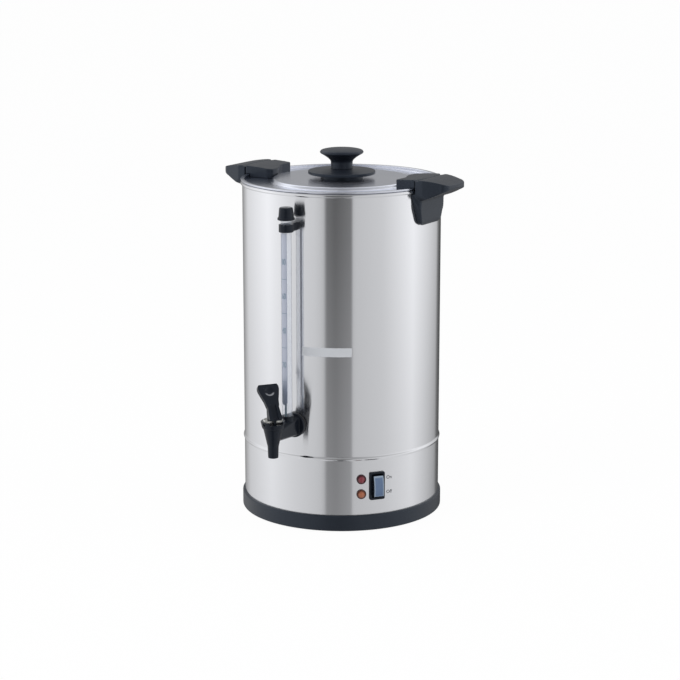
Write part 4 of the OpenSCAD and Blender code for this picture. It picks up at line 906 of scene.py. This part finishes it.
def strip_rows(columns=12, round_steps=8, straight_steps=24):
    """The scale's rows of points: a round lower end, then the straight strip."""
    half = GAUGE_R * math.radians(SCALE_HALF)
    straight = scale_low + half
    turns = [math.pi / 2 * i / round_steps for i in range(round_steps + 1)]
    heights = [scale_low + half * (1 - math.cos(a)) for a in turns]
    heights += [straight + (scale_top - straight) * i / straight_steps for i in range(1, straight_steps + 1)]
    rows = []
    for z in heights:
        drop = max(0.0, 1 - (z - scale_low) / half)
        reach = half * math.sqrt(1 - drop * drop) + 0.02 * MM
        rows.append([on_tube(reach * (2 * k / columns - 1), z, PRINT_LIFT) for k in range(columns + 1)])
    return rows


def tail_rows(columns=4):
    """The rows of points of the thin line that runs from the strip's end down to the tube's seal."""
    left = 0.5 * MM
    width = 2.3 * MM
    z_seal = 151.1 * MM
    return [[on_tube(left + width * k / columns, z, PRINT_LIFT) for k in range(columns + 1)]
            for z in (z_seal, scale_low + 2.5 * MM)]


tail = film_on_tube("gauge_tail", tail_rows(), 0.1 * MM)
piece("gauge_scale_tail", tail, scale_ink, "urn", slot="scale_print")
strip = film_on_tube("gauge_film", strip_rows(), 0.2 * MM)
piece("gauge_scale_strip", strip, scale_film, "urn", ["gauge_scale"], "scale_print")


def flat_text(words, height):
    """The outline of plain lettering as a mesh in its own plane, centred."""
    curve = bpy.data.curves.new("words", "FONT")
    curve.body = words
    curve.align_x = "CENTER"
    curve.align_y = "CENTER"
    curve.size = height
    curve.offset = 0.012 * height
    return evaluated(add_object("words", curve))


def laid(mesh, lay, thickness, axis_y=0.0):
    """Flat print bent onto a round surface and given a film's thickness away from its axis."""
    bm = bmesh.new()
    bm.from_mesh(mesh)
    bmesh.ops.remove_doubles(bm, verts=bm.verts, dist=MERGE)
    bmesh.ops.triangulate(bm, faces=bm.faces)
    for vert in bm.verts:
        vert.co = lay(vert.co.x, vert.co.y)
    made = bmesh.ops.extrude_face_region(bm, geom=list(bm.faces))
    for vert in (v for v in made["geom"] if isinstance(v, bmesh.types.BMVert)):
        outward = Vector((vert.co.x, vert.co.y, 0)) - Vector((0, axis_y, 0))
        vert.co += outward.normalized() * thickness
    bmesh.ops.recalc_face_normals(bm, faces=bm.faces)
    return meshed("print", bm)


def on_scale(z):
    """Lays flat print on the scale, narrowed to fit it and centred at a height."""
    def lay(x, y):
        return on_tube(NUMBER_NARROW * x, z + y, NUMBER_LIFT)
    return lay


tick_in = GAUGE_R + 0.2 * MM
tick_out = GAUGE_R + 0.3 * MM
tick_half = 0.25 * MM
tick_outline = [(tick_in, -tick_half), (tick_out, -tick_half), (tick_out, tick_half), (tick_in, tick_half)]
tick_rear = box_mesh((4 * GAUGE_R, 14 * MM, 1.0 * MM), Matrix.Translation((0, 1.3 * MM, 0)))
tick_bar = cut_out(lathe("tick", tick_outline, 96), [tick_rear])
scale_marks = {"80": 322 * MM, "60": 280 * MM, "40": 237.5 * MM, "20": 195 * MM}
number_rise = 21 * MM
number_size = 10 * MM
tick_places = [(0, Y_GAUGE, z) for z in scale_marks.values()]
ticks = copies("gauge_ticks", tick_bar, tick_places, [(0, 0, 0)] * len(tick_places), scale_ink)
piece("gauge_scale_ticks", ticks, scale_ink, "urn", slot="scale_print")
for number, z in scale_marks.items():
    digits = laid(flat_text(number, number_size), on_scale(z + number_rise), 0.04 * MM, Y_GAUGE)
    piece("gauge_scale_number_" + number, digits, scale_ink, "urn", slot="scale_print")

# Controls

lens_r = 6.1 * MM
lens_stem_r = 4.8 * MM
lens_back = -13.5 * MM
lens_seat = -1.0 * MM
lens_face = 2.0 * MM
lens_glow = 4.5 * MM
dome_r = 4.4 * MM
dome_h = 2.9 * MM
dome_steps = 10
lens_outline = [(0, lens_back), (lens_stem_r, lens_back), (lens_stem_r, lens_seat), (lens_r, lens_seat),
                (lens_r, lens_face - 0.5 * MM), (lens_r - 0.3 * MM, lens_face),
                (lens_r - 0.9 * MM, lens_face + 0.2 * MM), (dome_r + 0.2 * MM, lens_face)]
for i in range(dome_steps):
    a = math.pi / 2 * i / dome_steps
    lens_outline.append((dome_r * math.cos(a), lens_face + dome_h * math.sin(a)))
lens_outline.append((0, lens_face + dome_h))
for lamp, colour, side, heart, rim in (("brew", "red", 1, (0.20, 0.034, 0.046), (0.026, 0.007, 0.010)),
                                       ("warm", "amber", -1, (0.38, 0.125, 0.058), (0.045, 0.015, 0.012))):
    z = Z_CONTROLS + side * LAMP_PITCH / 2
    tinted = lamp_lens(colour + "_lamp_lens", around_axis(LAMP_AZ, BODY_R + lens_glow, z), heart, rim)
    lens = lathe("lens", lens_outline, 64)
    lens.transform(at_azimuth(LAMP_AZ, BODY_R, z))
    piece(lamp + "_lamp_lens", lens, tinted, "urn", [lamp + "_lamp"], colour + "_lens")

moulding("switch_bezel", "switch_body", 0.4 * MM, 3, tap_plastic)
moulding("switch_rocker_body", "switch_rocker", 0.25 * MM, 3, tap_plastic, "rocker")
rocker_face = around_axis(SWITCH_AZ, BODY_R + 8 * MM, Z_CONTROLS)
# The second colour is the painted highlight at the lens's edges.
rocker_tint = switch_lens("rocker_blue_lens", rocker_face, (0.075, 0.130, 0.240), (0.29, 0.36, 0.44))
moulding("switch_rocker_lens", "rocker_lens", 0.16 * MM, 3, rocker_tint, "rocker", "rocker_plastic")
moulding("inlet_moulding", "power_inlet", 0.4 * MM, 3, tap_plastic)

ink = printed("grey_print_ink", (0.06, 0.065, 0.075))
label_film = printed("pale_label_film", (0.72, 0.735, 0.76), cover=0.72)


def on_body(azimuth, z):
    """Lays flat print on the urn's round body, centred at an azimuth and height."""
    def lay(x, y):
        return around_axis(azimuth + math.degrees(x / BODY_R), BODY_R + 0.03 * MM, z + y)
    return lay


WORD_AZ = 55.6
word_size = 6.0 * MM
for word, z in (("On", 67.4 * MM), ("Off", 48.6 * MM)):
    word_mesh = laid(flat_text(word, word_size), on_body(WORD_AZ, z), 0.05 * MM)
    piece("switch_word_" + word.lower(), word_mesh, ink, "urn", slot="black_plastic")


def label_mesh(width, height, corner, columns=40):
    """A flat blank film with rounded corners, in columns so that it bends."""
    outline = []
    for cx, cy, start in ((1, 1, 0), (-1, 1, 90), (-1, -1, 180), (1, -1, 270)):
        outline += arc(cx * (width / 2 - corner), cy * (height / 2 - corner), corner, start, start + 90, 4)
    bm = bmesh.new()
    bm.faces.new([bm.verts.new((x, y, 0)) for x, y in outline])
    for k in range(1, columns):
        x = width * (k / columns - 0.5)
        drawn = bm.verts[:] + bm.edges[:] + bm.faces[:]
        bmesh.ops.bisect_plane(bm, geom=drawn, plane_co=(x, 0, 0), plane_no=(1, 0, 0))
    return meshed("label", bm)


LABEL_AZ = 19.0
z_label = 229.2 * MM
label = laid(label_mesh(62 * MM, 11.2 * MM, 0.8 * MM), on_body(LABEL_AZ, z_label), 0.08 * MM)
piece("blank_label", label, label_film, "urn", slot="scale_print")

# Stage, light and camera

azimuth = math.radians(CAMERA_AZ)
yaw = math.radians(CAMERA_YAW)
pitch = math.radians(CAMERA_PITCH)
right = Vector((math.cos(azimuth), math.sin(azimuth), 0))
ahead = Vector((-math.sin(azimuth), math.cos(azimuth), 0))
level = ahead * math.cos(yaw) - right * math.sin(yaw)
across = right * math.cos(yaw) + ahead * math.sin(yaw)
look = level * math.cos(pitch) - Vector((0, 0, 1)) * math.sin(pitch)
up = level * math.sin(pitch) + Vector((0, 0, 1)) * math.cos(pitch)
camera_data = bpy.data.cameras.new("camera")
camera_data.lens = CAMERA_LENS
camera_data.sensor_width = SENSOR_WIDTH
camera = add_object("camera", camera_data)
spot = -ahead * CAMERA_DISTANCE + Vector((0, 0, CAMERA_HEIGHT))
camera.matrix_world = Matrix(((across.x, up.x, -look.x, spot.x), (across.y, up.y, -look.y, spot.y),
                              (across.z, up.z, -look.z, spot.z), (0, 0, 0, 1)))
scene.camera = camera
scene.view_settings.view_transform = "Standard"

FLOOR_R = 24.0
FLOOR_WHITE = 0.97  # share of plain white that the camera sees; the rest takes the urn's shadow
bm = bmesh.new()
bmesh.ops.create_circle(bm, cap_ends=True, segments=96, radius=FLOOR_R)
floor_mesh = meshed("floor", bm)
floor = add_object("floor", floor_mesh)
floor.visible_glossy = False
floor.visible_transmission = False
floor_paint, f = material("pale_floor")
seen = f.node("ShaderNodeLightPath", out="Is Camera Ray")
paint = f.node("ShaderNodeBsdfDiffuse", inputs={"Color": (0.9, 0.9, 0.9)})
glow = f.node("ShaderNodeEmission", inputs={"Color": (1, 1, 1), "Strength": 1.0})
floor_shader = f.node("ShaderNodeMixShader", inputs={0: seen * FLOOR_WHITE, 1: paint, 2: glow})
f.node("ShaderNodeOutputMaterial", inputs={"Surface": floor_shader})
floor_mesh.materials.append(floor_paint)

world = bpy.data.worlds.new("studio")
world.use_nodes = True
scene.world = world
f = Finish(world.node_tree)
direction = f.node("ShaderNodeTexCoord", out="Generated")
x, y, z = f.axes(direction)
front = x * math.sin(azimuth) - y * math.cos(azimuth)
beside = x * math.cos(azimuth) + y * math.sin(azimuth)
turn = beside.calc("ARCTAN2", front) / (2 * math.pi) + 0.5


def ring_of_light(levels):
    """The light's level at angles to the right of the camera, all the way round."""
    stops = [(0.5 + angle / 360, level) for angle, level in levels]
    return f.node("ShaderNodeValToRGB", {"stops": stops}, {"Fac": turn})


walls = ring_of_light([
    (-180, 0.15), (-156, 0.42), (-139, 0.86), (-94, 1.2), (-55, 0.83), (-31, 0.78), (-25, 0.7),
    (-20.5, 0.6), (-17.5, 0.12), (-8, 0.05), (11, 0.13), (13, 0.62), (17, 0.69), (47, 0.76), (91, 1.2),
    (109, 1.0), (143, 0.62), (150, 0.22), (160, 0.08), (180, 0.08)])
table = ring_of_light([
    (-180, 0.12), (-156, 0.42), (-139, 0.66), (-90, 0.87), (-50, 0.71), (-25, 0.6), (-20.5, 0.52),
    (-17.5, 0.36), (-6, 0.35), (11, 0.44), (13, 0.58), (55, 0.65), (90, 0.76), (109, 0.62), (143, 0.34),
    (152, 0.12), (180, 0.1)])
ceiling = ring_of_light([
    (-180, 0.38), (-150, 0.42), (-120, 0.85), (-90, 1.0), (-45, 0.85), (-20, 0.4), (0, 0.2), (20, 0.4),
    (45, 0.85), (90, 1.0), (120, 0.9), (150, 0.5), (180, 0.38)])
under = ring_of_light([
    (-180, 0.5), (-150, 0.78), (-90, 0.85), (-25, 0.58), (-16, 0.16), (10, 0.16), (14, 0.55), (90, 0.8),
    (150, 0.7), (180, 0.5)])
overhead = ring_of_light([
    (-180, 0.45), (-160, 0.8), (-150, 1.3), (-134, 1.5), (-115, 1.3), (-95, 0.7), (-50, 0.5), (-20, 0.4),
    (0, 0.32), (20, 0.4), (50, 0.5), (95, 0.7), (115, 1.15), (134, 1.35), (150, 1.1), (160, 0.7),
    (180, 0.45)])

# The rings of light take over from one another by the height of the direction
studio = f.blend(z.between(-0.32, -0.13), table, walls)
studio = f.blend(z.between(0.0, 0.10), studio, ceiling)
studio = f.blend(z.between(0.3, 0.65), studio, overhead)
studio = f.blend(z.between(-0.62, -0.42), under, studio)
rays = f.node("ShaderNodeLightPath", out="Is Camera Ray")
path = rays.socket.node
glossy = Link(f, path.outputs["Is Glossy Ray"])
through = Link(f, path.outputs["Is Transmission Ray"])
shade_of_light = f.blend(glossy, (0.62, 0.63, 0.65), studio)
shade_of_light = f.blend(rays, shade_of_light, (1, 1, 1))
shade_of_light = f.blend(through, shade_of_light, (0.95, 0.95, 0.96))
background = f.node("ShaderNodeBackground", inputs={"Color": shade_of_light, "Strength": 1.0})
f.node("ShaderNodeOutputWorld", inputs={"Surface": background})

AIM = Vector((0, 0, 0.25))


def soft_lamp(name, azimuth_from_tap, distance, height, size, watts):
    """A large soft lamp aimed at the urn's middle, left out of the mirror reflections."""
    data = bpy.data.lights.new(name, "AREA")
    data.shape = "DISK"
    data.size = size
    data.energy = watts
    lamp = add_object(name, data)
    lamp.location = around_axis(azimuth_from_tap, distance, height)
    lamp.rotation_mode = "QUATERNION"
    lamp.rotation_quaternion = (AIM - lamp.location).to_track_quat("-Z", "Y")
    lamp.visible_glossy = False


soft_lamp("key_lamp", -30, 1.8, 1.9, 1.4, 22)
soft_lamp("fill_lamp", 105, 2.0, 1.2, 1.2, 12)
